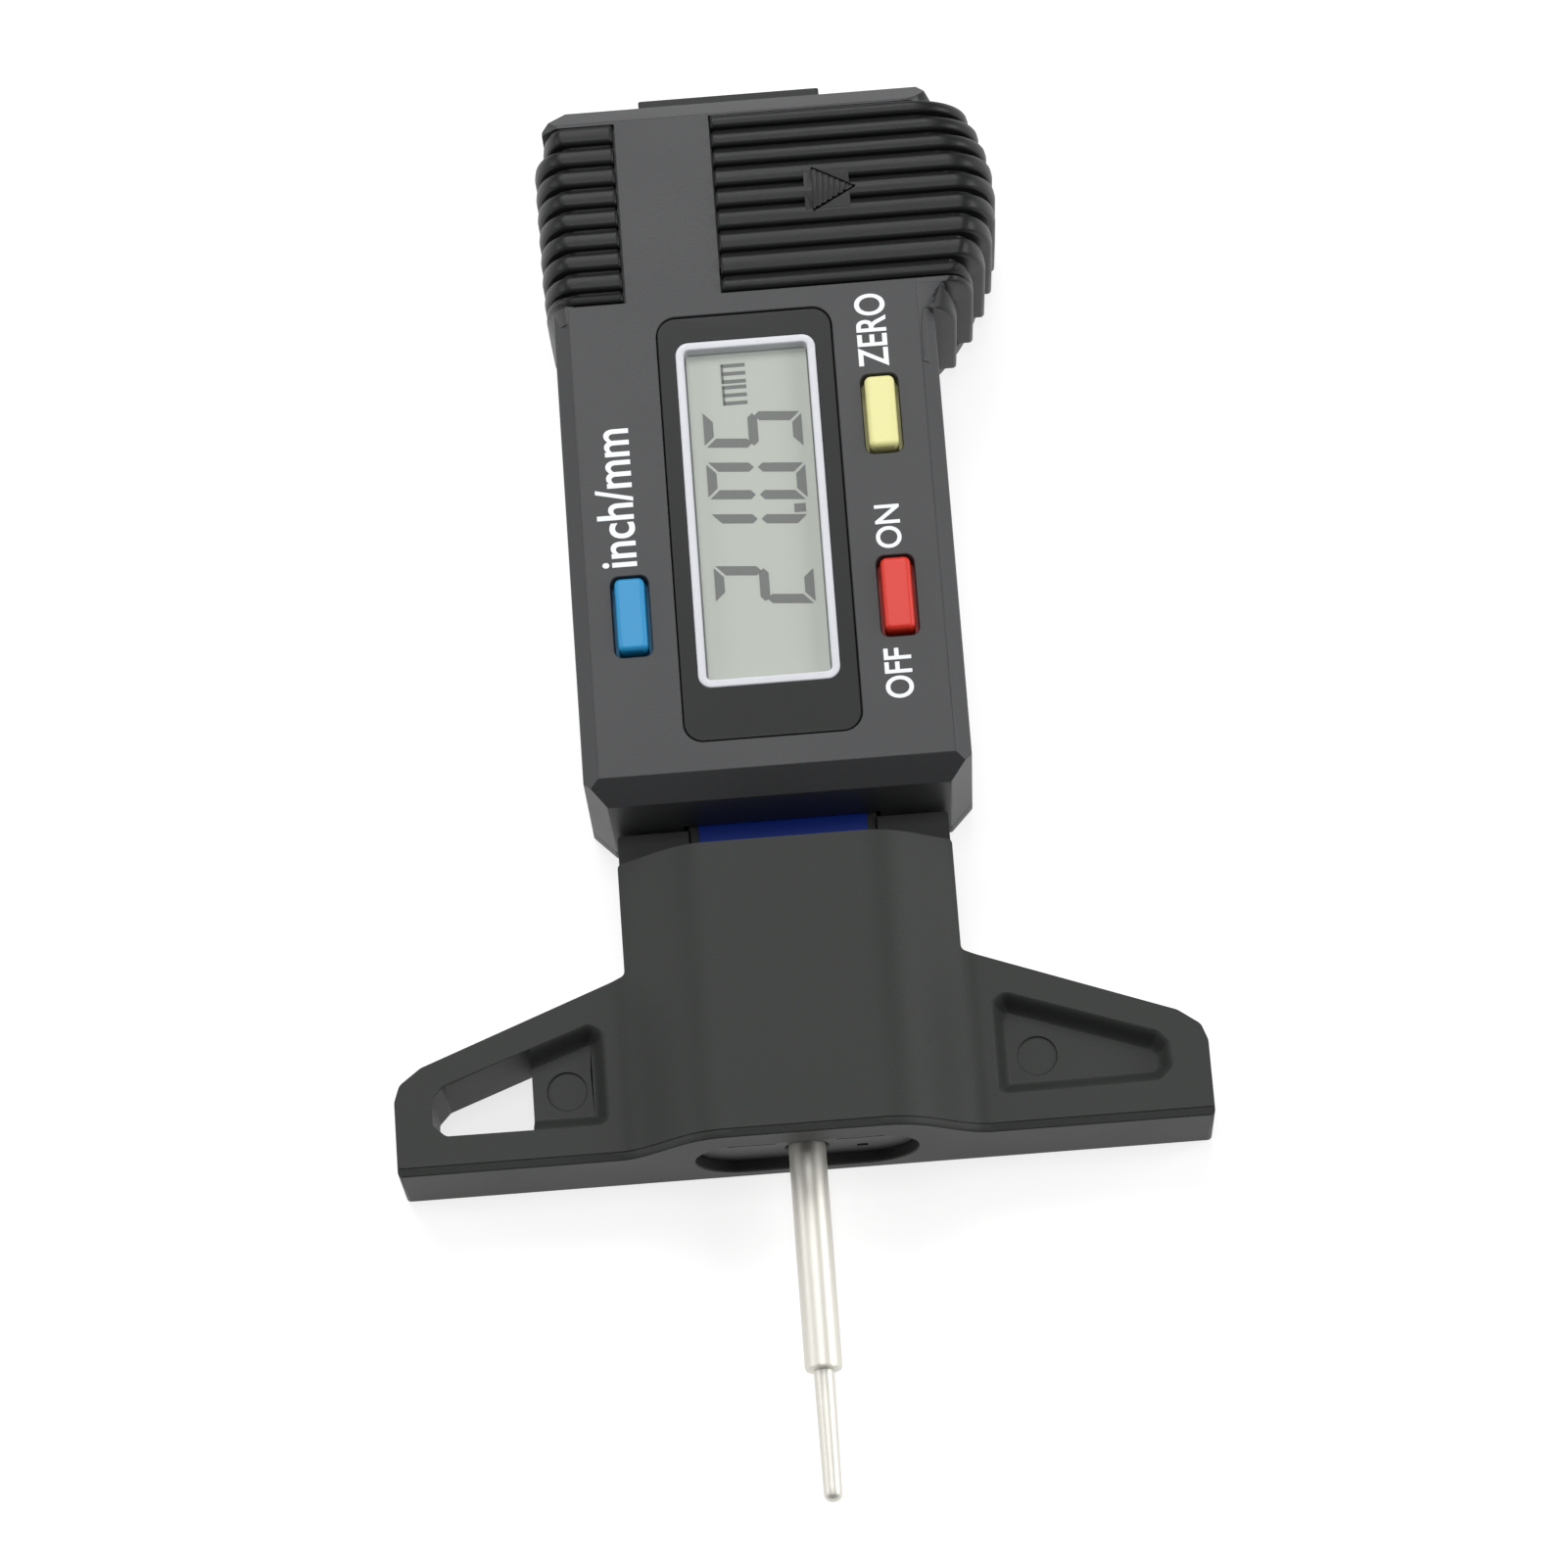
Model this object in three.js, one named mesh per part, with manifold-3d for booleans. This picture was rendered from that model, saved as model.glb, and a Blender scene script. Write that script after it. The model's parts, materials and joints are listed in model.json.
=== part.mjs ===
// Digital tread depth gauge. It lies on its back: +Z out of the display face, +Y along the beam away from
// the measuring face, +X to the right of the display. Millimetres. y = 0 is the measuring face.
import * as THREE from 'three';
import { mergeVertices } from 'three/addons/utils/BufferGeometryUtils.js';
import Module from 'manifold-3d';

const wasm = await Module();
wasm.setup();

// ---------------------------------------------------------------- driving dimensions
const GAP = 0.3; // clearance left where one piece is let into another

// measuring foot
const FOOT_HALF = 26; // half the measuring face's width
const WING_Z = 6.35; // front of the wings
const HUMP_Z = 10; // front of the raised middle
const HUMP_FLAT = 5.7; // half-width of the flat of the hump
const HUMP_FOOT = 11.9; // half-width where the hump meets the wings
const NECK_HALF = 10.8;
const NECK_END = 19.5; // the neck's end, facing the slider
const SHELF_END = 21.75; // the low shelf beside the beam, which the slider comes to rest against
const SHELF_HALF = 10.72;
const WING_END_Y = 6.35; // height of a wing at its end
const WING_ROOT_Y = 12.1; // height of a wing where it meets the neck
const POCKET_FLOOR = 5;
const FACE_EDGE = 0.48; // how far the bevel at the foot of the measuring face runs up the front
const FACE_DROP = 0.16;
const SLOT_HALF = 7.15; // the stadium slot in the measuring face
const SLOT_LOW = 1;
const SLOT_HIGH = 7.4;

// beam and probe
const BEAM_HALF = 6.1;
const BEAM_LOW = 1.9;
const BEAM_HIGH = 5.4;
const BEAM_START = 3;
const BEAM_END = 73.7;
const STRIP_END = 72.5;
const STRIP_HALF = 5.45;
const STRIP_HIGH = 5.6;
const PROBE_Z = 3.4;
const PROBE_R = 1.2;
const TIP_R = 0.65;
const PROTRUSION = 22.35; // probe tip below the measuring face
const SHOULDER = 13.95; // where the thick part of the probe ends
const PROBE_TOP = 62.2;

// slider
const SL_Y0 = 22;
const SL_Y1 = 70.7;
const SL_HALF = 12.45;
const SL_Z = 12.4; // display face
const COVER_Z = 1.6; // thickness of the back cover
const CHAMFER = 1.5;
const WALL = 1.35;
const ROOF = SL_Z - 1.4; // underside of the face plate
const GROOVE = 0.34; // width of a groove between two ribs
const GROOVE_DEPTH = 0.5;
const RIB_Z = 12.7;
const BULGE_R = 11.95; // plan radius of the thumb boss, over the cell
const BULGE_X = 5.2;
const BULGE_Y = 62.5;
const COVER_R = 11.15; // the back cover's round, just inside the boss
const SHOULDER_Z = 9; // where a grip's rounded shoulder meets its upright side

// the lower end, the grooves and the upper end of each ribbed area, along y
const DOOR_MARKS = [56.33, 57.37, 59.02, 60.62, 62.18, 63.67, 65.17, 66.52, 67.85, 68.97];
const LEFT_MARKS = [56.17, 56.93, 58.43, 59.93, 61.43, 62.93, 64.43, 65.93, 67.43, 68.84];
const FLANK_MARKS = [54.15, 55.72, 57.38];
const LEFT_REACHES = [12.95, 13.02, 13.08, 13.1, 13.12, 13.14, 13.15, 13.15, 12.5];
const LEFT_BEND = 11.08;
const DOOR_X = -1.3; // left edge of the battery door
const LEFT_GRIP_X = -7.7; // right edge of the left grip

// display and electronics
const BEZEL = { x0: -5.8, x1: 5.7, y0: 25.45, y1: 54.8, r: 1.3 };
const WINDOW = { x0: -4.65, x1: 4.55, y0: 29.05, y1: 53, r: 0.9 };
const FRAME_W = 0.55; // width of the bright line round the window
const BOARD_LOW = 5.9;
const BOARD_HIGH = 6.7;
const GLASS_LOW = 9.5;
const GLASS_HIGH = 10.53; // lower glass of the display
const UPPER_GLASS = 11.5;

// battery
const CELL_R = 5.8;
const CELL_X = 5.3;
const CELL_Y = 62.6;
const CELL_LOW = 5.92;
const CELL_HIGH = 11.3;
const DOOR_LOW = 11.5;
const BAY_LOW = 5.85;

// buttons: name, place, colour
const BUTTONS = [
  { name: 'mode', x: -8.62, y: 34.3, color: 0x2f93cf },
  { name: 'zero', x: 8.48, y: 46.97, color: 0xe9e49a },
  { name: 'power', x: 8.54, y: 34.34, color: 0xd93f35 },
];
const CAP_HALF_X = 1.02;
const CAP_HALF_Y = 2.58;
const CAP_TOP = 12.95;
const KEY_TRAVEL = 0.4;

// ---------------------------------------------------------------- solids from three.js geometry
function solid(geometry) {
  geometry.deleteAttribute('normal');
  geometry.deleteAttribute('uv');
  const merged = mergeVertices(geometry, 1e-4);
  return new wasm.Manifold(new wasm.Mesh({
    numProp: 3,
    vertProperties: Float32Array.from(merged.attributes.position.array),
    triVerts: Uint32Array.from(merged.index.array),
  }));
}

function box(x0, x1, y0, y1, z0, z1) {
  const geometry = new THREE.BoxGeometry(x1 - x0, y1 - y0, z1 - z0);
  geometry.translate((x0 + x1) / 2, (y0 + y1) / 2, (z0 + z1) / 2);
  return solid(geometry);
}

function shapeOf(points) {
  return new THREE.Shape(points.map(([u, v]) => new THREE.Vector2(u, v)));
}

// an outline's points, without the doubled ones where its arcs and lines meet
function cleanOutline(shape, segments) {
  const points = shape.getPoints(segments);
  const kept = points.filter((p, i) => p.distanceTo(points[(i + 1) % points.length]) > 1e-3);
  return new THREE.Shape(kept);
}

function extrude(shape, depth, segments = 5) {
  return new THREE.ExtrudeGeometry(cleanOutline(shape, segments), { depth, bevelEnabled: false });
}

// a plan outline, from z0 to z1
function prismZ(shape, z0, z1, segments) {
  const geometry = extrude(shape, z1 - z0, segments);
  geometry.translate(0, 0, z0);
  return solid(geometry);
}

// an (x, z) section, from y0 to y1
function prismY(points, y0, y1) {
  const geometry = extrude(shapeOf(points), y1 - y0);
  geometry.rotateX(Math.PI / 2);
  geometry.translate(0, y1, 0);
  return solid(geometry);
}

// a (y, z) section, from x0 to x1
function prismX(points, x0, x1) {
  const geometry = extrude(shapeOf(points), x1 - x0);
  const turn = new THREE.Matrix4().makeBasis(
    new THREE.Vector3(0, 1, 0), new THREE.Vector3(0, 0, 1), new THREE.Vector3(1, 0, 0));
  geometry.applyMatrix4(turn);
  geometry.translate(x0, 0, 0);
  return solid(geometry);
}

function cylinderZ(x, y, r, z0, z1, sides = 24) {
  const geometry = new THREE.CylinderGeometry(r, r, z1 - z0, sides);
  geometry.rotateX(Math.PI / 2);
  geometry.translate(x, y, (z0 + z1) / 2);
  return solid(geometry);
}

function cylinderY(x, z, r, y0, y1, sides = 24) {
  const geometry = new THREE.CylinderGeometry(r, r, y1 - y0, sides);
  geometry.translate(x, (y0 + y1) / 2, z);
  return solid(geometry);
}

function roundRect(x0, x1, y0, y1, r) {
  const shape = new THREE.Shape();
  shape.absarc(x1 - r, y0 + r, r, -Math.PI / 2, 0);
  shape.absarc(x1 - r, y1 - r, r, 0, Math.PI / 2);
  shape.absarc(x0 + r, y1 - r, r, Math.PI / 2, Math.PI);
  shape.absarc(x0 + r, y0 + r, r, Math.PI, 1.5 * Math.PI);
  return shape;
}

function join(...parts) {
  return parts.reduce((whole, part) => whole.add(part));
}

function cut(whole, ...tools) {
  return tools.reduce((rest, tool) => rest.subtract(tool), whole);
}

const MATERIALS = {
  shell: { color: 0x4a4c4d, roughness: 0.55, metalness: 0 },
  foot: { color: 0x3e403f, roughness: 0.6, metalness: 0 },
  black: { color: 0x161718, roughness: 0.5, metalness: 0 },
  bezel: { color: 0x2f3231, roughness: 0.25, metalness: 0 },
  frame: { color: 0xd8dadc, roughness: 0.4, metalness: 0.2 },
  lens: { color: 0xcfd6cf, roughness: 0.1, metalness: 0 },
  lcd: { color: 0xa9b0a6, roughness: 0.3, metalness: 0 },
  rubber: { color: 0x2a2a2c, roughness: 0.8, metalness: 0 },
  board: { color: 0x1e5b34, roughness: 0.5, metalness: 0 },
  film: { color: 0x1a3aa0, roughness: 0.4, metalness: 0 },
  steel: { color: 0xc9c7c2, roughness: 0.25, metalness: 1 },
  brass: { color: 0xc7a24a, roughness: 0.35, metalness: 1 },
};

function mesh(name, body, look) {
  const data = body.getMesh();
  const geometry = new THREE.BufferGeometry();
  geometry.setAttribute('position', new THREE.BufferAttribute(Float32Array.from(data.vertProperties), 3));
  geometry.setIndex(new THREE.BufferAttribute(Uint32Array.from(data.triVerts), 1));
  geometry.computeVertexNormals();
  const made = new THREE.Mesh(geometry, new THREE.MeshStandardMaterial(look));
  made.name = name;
  return made;
}

// ---------------------------------------------------------------- measuring foot
// half of the (x, z) section of the hump, from its flat down to the wing
function humpSection(low) {
  const steps = 9;
  const flank = [];
  for (let i = 0; i <= steps; i++) {
    const t = i / steps;
    const drop = (HUMP_Z - WING_Z) * (1 - Math.cos(Math.PI * t)) / 2;
    flank.push([HUMP_FLAT + (HUMP_FOOT - HUMP_FLAT) * t, HUMP_Z - drop]);
  }
  const right = [...flank, [FOOT_HALF + 1, WING_Z], [FOOT_HALF + 1, low]];
  const left = right.map(([x, z]) => [-x, z]).reverse();
  return [...left, ...right].reverse();
}

function footOutline() {
  const shape = new THREE.Shape();
  const slope = Math.atan2(WING_ROOT_Y - WING_END_Y, FOOT_HALF - NECK_HALF);
  const r = 1.9;
  const y = WING_END_Y - r * Math.tan(Math.PI / 4 + slope / 2) + 0.55;
  shape.moveTo(-FOOT_HALF + 0.4, 0);
  shape.lineTo(FOOT_HALF - 0.4, 0);
  shape.lineTo(FOOT_HALF, 0.6);
  shape.absarc(FOOT_HALF - r, y, r, 0, Math.PI / 2 - slope);
  shape.lineTo(NECK_HALF, WING_ROOT_Y);
  shape.lineTo(NECK_HALF, NECK_END);
  shape.lineTo(-NECK_HALF, NECK_END);
  shape.lineTo(-NECK_HALF, WING_ROOT_Y);
  shape.absarc(-FOOT_HALF + r, y, r, Math.PI / 2 + slope, Math.PI);
  shape.lineTo(-FOOT_HALF, 0.6);
  return shape;
}

// the three-cornered pocket of a wing, drawn on the right wing; inset moves its sides inwards
function pocketOutline(inset, side) {
  const left = 12.3 + inset;
  const low = 2.38 + inset;
  const tip = 23.65 - inset;
  const rise = 0.35;
  const high = (x) => 5.5 - 1.06 * inset + (tip + inset - x) * rise;
  const r = Math.min(0.75, (high(tip) - low) / 2 - 0.05);
  const shape = new THREE.Shape();
  shape.absarc(tip - r, low + r, r, -Math.PI / 2, 0);
  shape.absarc(tip - r, high(tip) - r, r, 0, Math.PI / 2 - Math.atan(rise));
  shape.absarc(left + r, high(left) - r, r, Math.PI / 2 - Math.atan(rise), Math.PI);
  shape.absarc(left + r, low + r, r, Math.PI, 1.5 * Math.PI);
  return shapeOf(shape.getPoints(3).map((p) => [side * p.x, p.y]));
}

// a pocket with drafted walls, from the wing's front down to the pocket floor
function pocket(side) {
  const draft = 1.04;
  const steps = 3;
  const height = (WING_Z - POCKET_FLOOR) / steps;
  const layers = [];
  for (let i = 0; i < steps; i++) {
    const top = i === steps - 1 ? 1 : 0;
    layers.push(prismZ(pocketOutline(draft * (1 - (i + 0.5) / steps), side),
      POCKET_FLOOR + i * height, POCKET_FLOOR + (i + 1) * height + top, 3));
  }
  return join(...layers);
}

function stadium(halfWidth, low, high, y0, y1) {
  const r = (high - low) / 2;
  const shape = new THREE.Shape();
  shape.absarc(halfWidth - r, low + r, r, -Math.PI / 2, Math.PI / 2);
  shape.absarc(-halfWidth + r, low + r, r, Math.PI / 2, 1.5 * Math.PI);
  return prismY(shape.getPoints(8).map((p) => [p.x, p.y]), y0, y1);
}

const SCREW_SEATS = {
  foot: [[-3.75, 8.5], [3.75, 8.5]],
  cover: [[-9.5, 25.4], [9.5, 25.4], [-9.5, 66.9], [9.5, 66.9]],
  anchor: [0, 67.2],
};

// the foot's (x, z) section leaned back, so that it bevels the front edge of the measuring face
function faceBevel() {
  const lean = FACE_DROP / FACE_EDGE;
  const geometry = extrude(shapeOf(humpSection(-30)), 30);
  geometry.rotateX(Math.PI / 2);
  geometry.translate(0, 25, -FACE_DROP);
  geometry.applyMatrix4(new THREE.Matrix4().set(1, 0, 0, 0, 0, 1, 0, 0, 0, lean, 1, 0, 0, 0, 0, 1));
  return solid(geometry);
}

function footBase() {
  const plan = prismZ(footOutline(), 0, HUMP_Z + 1, 4);
  const section = prismY(humpSection(0), -1, NECK_END + 1);
  const window = prismZ(shapeOf([[-17.2, 2.42], [-17.2, 7.7], [-22.8, 5.7], [-23.5, 4.9], [-23.5, 3.2],
    [-22.8, 2.42]]), -1, HUMP_Z);
  const beamSeat = box(-BEAM_HALF - 0.15, BEAM_HALF + 0.15, BEAM_START - GAP, SHELF_END + 1,
    BEAM_LOW - 0.2, STRIP_HIGH + 0.25);
  const shelf = box(-SHELF_HALF, SHELF_HALF, NECK_END - 1, SHELF_END, 0, STRIP_HIGH);
  let body = cut(join(plan.intersect(section).intersect(faceBevel()), shelf), pocket(1), pocket(-1), window, beamSeat,
    stadium(SLOT_HALF, SLOT_LOW, SLOT_HIGH, -1, 2.2), cylinderY(0, PROBE_Z, PROBE_R + 0.2, 1, BEAM_START + 1));
  for (const [x, y] of SCREW_SEATS.foot) {
    body = cut(body, cylinderZ(x, y, 1.05, -1, BEAM_LOW + 1), cylinderZ(x, y, 1.95, -1, 1));
  }
  return body;
}

function probeGuide() {
  return cut(stadium(SLOT_HALF - 0.12, SLOT_LOW + 0.12, SLOT_HIGH - 0.12, 0.65, 2),
    cylinderY(0, PROBE_Z, PROBE_R + 0.1, 0, 3));
}

function beam() {
  const half = BEAM_HALF;
  const groove = 1.4;
  let body = prismY([[-half, BEAM_LOW], [-groove, BEAM_LOW], [-groove, PROBE_Z + PROBE_R + 0.2],
    [groove, PROBE_Z + PROBE_R + 0.2], [groove, BEAM_LOW], [half, BEAM_LOW], [half, BEAM_HIGH],
    [-half, BEAM_HIGH]], BEAM_START, BEAM_END);
  for (const [x, y] of SCREW_SEATS.foot) {
    body = cut(body, cylinderZ(x, y, 0.95, BEAM_LOW - 1, 4.7, 16));
  }
  return body;
}

function probeRod() {
  return join(cylinderY(0, PROBE_Z, PROBE_R, -SHOULDER, PROBE_TOP, 32),
    cylinderY(0, PROBE_Z, TIP_R, -PROTRUSION, -SHOULDER + 0.1, 24),
    cylinderY(0, PROBE_Z, 0.6, PROBE_TOP - 0.1, 66, 16));
}

// the block that carries the probe's tail; it rides in the beam's groove, screwed to the back cover
function probeAnchor() {
  const [x, y] = SCREW_SEATS.anchor;
  return cut(box(-1.2, 1.2, 62.9, 68.9, COVER_Z + 0.1, 4.5), cylinderY(0, PROBE_Z, 0.75, 62, 66.2, 16),
    cylinderZ(x, y, 0.65, 0, 3.6, 16));
}

// a countersunk-in screw driven from the back, with a cross recess in its head
function screw([x, y], head, shank, headHigh, tip) {
  const low = 0.12;
  const arm = head * 0.55;
  return cut(join(cylinderZ(x, y, head, low, headHigh, 20), cylinderZ(x, y, shank, low + 0.3, tip, 14)),
    box(x - arm, x + arm, y - 0.17, y + 0.17, low - 1, low + 0.35),
    box(x - 0.17, x + 0.17, y - arm, y + arm, low - 1, low + 0.35));
}

// ---------------------------------------------------------------- slider
const bulgeX = (y, radius = BULGE_R) => BULGE_X + Math.sqrt(Math.max(0, radius ** 2 - (y - BULGE_Y) ** 2));

// each rib of the boss keeps the reach that the round has a little above the rib's lower end
const reachAt = (mark) => bulgeX(mark + 0.2);

// where the flat top of the boss turns down: a flare out of the side wall, then a round
function bendX(y) {
  if (y < 56) {
    return 11.4 + 2.05 * Math.max(0, (y - 50.4) / 5.6) ** 4.2;
  }
  const radius = y < 60.9 ? 10.5 : 12.5;
  return 14.67 - radius + Math.sqrt(radius ** 2 - (y - 60.9) ** 2);
}

// plan outline of the slider; withBulge adds the round of the thumb boss on the right
function sliderOutline(inset, withBulge) {
  const half = SL_HALF - inset;
  const y0 = SL_Y0 + inset;
  const y1 = SL_Y1 - inset;
  const points = [[-11 + inset * 0.4, y0], [11 - inset * 0.4, y0], [half, 23.5 + inset * 0.4]];
  if (withBulge) {
    const steps = 14;
    for (let i = 0; i <= steps; i++) {
      const y = 54 + (69.1 - 54) * i / steps;
      points.push([Math.max(half, bulgeX(y, COVER_R) - inset), y]);
    }
    points.push([12.5 - inset, y1]);
  } else {
    points.push([half, 69.2], [half - 1.55, y1]);
  }
  points.push([-10.9 + inset * 0.4, y1], [-half, 69.15 - inset * 0.4], [-half, 23.5 + inset * 0.4]);
  return shapeOf(points);
}

// (x, z) section of a grip: flat from x0 to bend, then rounded over to x = reach; side is 1 or -1
function gripSection(side, x0, reach, bend, top, low) {
  const points = [[x0, low], [x0, top]];
  const steps = 7;
  const curl = Math.max(0.3, reach - bend);
  for (let i = 0; i <= steps; i++) {
    const a = Math.PI / 2 * (1 - i / steps);
    points.push([side * (reach - curl + curl * Math.cos(a)), SHOULDER_Z + (top - SHOULDER_Z) * Math.sin(a)]);
  }
  points.push([side * (reach - 0.06), low]);
  return side > 0 ? [...points].reverse() : points;
}

// a row of ribs with grooves at the marks; over says whether the grooves cross the flat top too
function ribbed(side, x0, marks, reaches, bendOf, top, low, over = true) {
  const slices = [];
  const last = marks.length - 2;
  for (let i = 0; i <= last; i++) {
    const from = marks[i] + (i > 0 ? GROOVE / 2 : 0);
    const to = marks[i + 1] - (i < last ? GROOVE / 2 : 0);
    slices.push([from, to, reaches[i], 0]);
    if (i < last) {
      slices.push([to, to + GROOVE, Math.min(reaches[i], reaches[i + 1]), GROOVE_DEPTH]);
    }
  }
  return join(...slices.map(([from, to, reach, fall]) => {
    const lift = over ? fall : 0;
    const section = gripSection(side, x0, reach - fall, bendOf((from + to) / 2) - lift, top - lift, low);
    return prismY(section, from - 0.002, to + 0.002);
  }));
}

// slices of a smooth flank whose bend and reach change along y
function swept(side, x0, y0, y1, count, reachOf, bendOf, top, low) {
  const slices = [];
  for (let i = 0; i < count; i++) {
    const from = y0 + (y1 - y0) * i / count;
    const to = y0 + (y1 - y0) * (i + 1) / count;
    const mid = (from + to) / 2;
    slices.push(prismY(gripSection(side, x0, reachOf(mid), bendOf(mid), top, low), from - 0.002, to + 0.002));
  }
  return join(...slices);
}

// the housing's own part of the boss, below the door: two steps on the flank, smooth on top
function lowerFlank() {
  const low = COVER_Z + 0.02;
  const ribs = ribbed(1, 11.2, FLANK_MARKS, FLANK_MARKS.slice(0, -1).map(reachAt), bendX, SL_Z, low, false);
  return join(ribs, swept(1, 11.2, 50.4, FLANK_MARKS[0], 5, () => SL_HALF, bendX, SL_Z, low));
}

function leftGrip() {
  const low = COVER_Z + 0.02;
  const toe = (y) => SL_HALF + 0.5 * Math.sin((y - 54.9) / 1.9 * Math.PI / 2);
  return join(ribbed(-1, LEFT_GRIP_X, LEFT_MARKS, LEFT_REACHES, () => LEFT_BEND, RIB_Z, low),
    swept(-1, -11, 54.9, 56.8, 4, toe, () => 11.5, SL_Z - 0.02, low));
}

// (y, z) outline of the door's space, seen along its slide: the seam falls across one rib
function doorSide(clear) {
  const y0 = DOOR_MARKS[0] - clear;
  const y1 = DOOR_MARKS[DOOR_MARKS.length - 1] + clear;
  return [[y0, 20], [y0, 11], [y0 + 0.33, 9], [y0 + 1.05, 6.6], [y0 + 1.05, 0.5], [y1, 0.5], [y1, 20]];
}

const ENDS = [[SL_Y0, COVER_Z], [SL_Y1, COVER_Z], [SL_Y1, SL_Z - 1.6], [SL_Y1 - CHAMFER, SL_Z],
  [SL_Y0 + CHAMFER, SL_Z], [SL_Y0, SL_Z - 1.6]];

function frontHousing() {
  const low = COVER_Z + 0.02;
  const sides = [[-SL_HALF, low], [SL_HALF, low], [SL_HALF, SL_Z - 0.9], [SL_HALF - 0.9, SL_Z],
    [-SL_HALF + 0.9, SL_Z], [-SL_HALF, SL_Z - 0.9]];
  const lengthways = prismX(ENDS, -30, 30);
  let body = prismZ(sliderOutline(0, false), low, SL_Z + 0.1).intersect(lengthways)
    .intersect(prismY(sides, SL_Y0 - 1, SL_Y1 + 1));
  const headEnd = prismZ(shapeOf([[9, 69.05], [13.75, 69.05], [12.5, SL_Y1], [9, SL_Y1]]), low, SL_Z)
    .intersect(lengthways).intersect(prismY(gripSection(1, 9, 13.75, 11.5, SL_Z, low), 60, SL_Y1 + 1));
  body = join(body, headEnd, lowerFlank());
  body = cut(body, prismY([[-30, 11.5], [LEFT_GRIP_X, 11.5], [LEFT_GRIP_X, 20], [-30, 20]],
    LEFT_MARKS[0], LEFT_MARKS[LEFT_MARKS.length - 1]));
  body = join(body, leftGrip());

  // hollow inside, with the beam's way through both ends; a thicker block holds the battery bay
  const hollow = join(box(-11, 11, SL_Y0 + WALL, 55.4, 0, ROOF),
    box(-11, DOOR_X - 0.6, 56.2, SL_Y1 - WALL, 0, ROOF), box(-8, 11, 56.2, SL_Y1 - WALL, 0, 4.9));
  const way = box(-BEAM_HALF - 0.3, BEAM_HALF + 0.3, SL_Y0 - 1, SL_Y1 + 1, 0, BAY_LOW);
  body = cut(body, hollow, way);

  // rails each side of the beam and bosses for the case screws
  body = join(body, box(-8, -BEAM_HALF - 0.3, SL_Y0 + 0.5, SL_Y1 - 0.5, low, STRIP_HIGH),
    box(BEAM_HALF + 0.7, 8, SL_Y0 + 0.5, SL_Y1 - 0.5, low, STRIP_HIGH));
  for (const [x, y] of SCREW_SEATS.cover) {
    const side = Math.sign(x);
    const span = [side * 7.9, side * 11.4].sort((p, q) => p - q);
    body = cut(join(body, box(span[0], span[1], y - 2, y + 2, low, 5.5)), cylinderZ(x, y, 0.95, 0, 5.1, 16));
  }

  // battery bay under the door, the contacts' ways into it, the skirt's seat and the tongue's slot
  body = cut(body, cylinderZ(CELL_X, CELL_Y, CELL_R + 0.2, BAY_LOW, 20, 40),
    box(2.7, 6.3, 55, 59, 5.5, 6.95), box(-1.35, 0.2, 55, 65.5, 6.8, 9.6), box(-7, -3, 55, 57, 6.8, 9.6),
    box(DOOR_X - 0.02, 30, DOOR_MARKS[0] - 0.03, 69, DOOR_LOW - 0.15, 20),
    prismX(doorSide(0.05), SL_HALF - 0.35, 30),
    box(DOOR_X - 2.4, 0, 58, 67.2, ROOF - 0.2, DOOR_LOW + 0.5));

  // display opening and button holes
  const opening = prismZ(roundRect(BEZEL.x0, BEZEL.x1, BEZEL.y0, BEZEL.y1, BEZEL.r), ROOF - 1, SL_Z + 1, 4);
  body = cut(body, opening);
  for (const b of BUTTONS) {
    body = cut(body, prismZ(roundRect(b.x - CAP_HALF_X - 0.15, b.x + CAP_HALF_X + 0.15,
      b.y - CAP_HALF_Y - 0.15, b.y + CAP_HALF_Y + 0.15, 0.5), ROOF - 1, SL_Z + 1, 3));
  }
  return body;
}

function backCover() {
  let body = prismZ(sliderOutline(0, true), 0, COVER_Z);
  body = body.intersect(prismX([[SL_Y0 - 1, 0.4], [SL_Y0 + 0.4, 0], [SL_Y1 - 0.4, 0], [SL_Y1 + 1, 0.4],
    [SL_Y1 + 1, 3], [SL_Y0 - 1, 3]], -30, 30));
  for (const [x, y] of SCREW_SEATS.cover) {
    body = cut(body, cylinderZ(x, y, 1, -1, 3, 16), cylinderZ(x, y, 1.9, -1, 1));
  }
  const [x, y] = SCREW_SEATS.anchor;
  return cut(body, cylinderZ(x, y, 0.75, -1, 3, 16), cylinderZ(x, y, 1.4, -1, 0.8));
}

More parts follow.
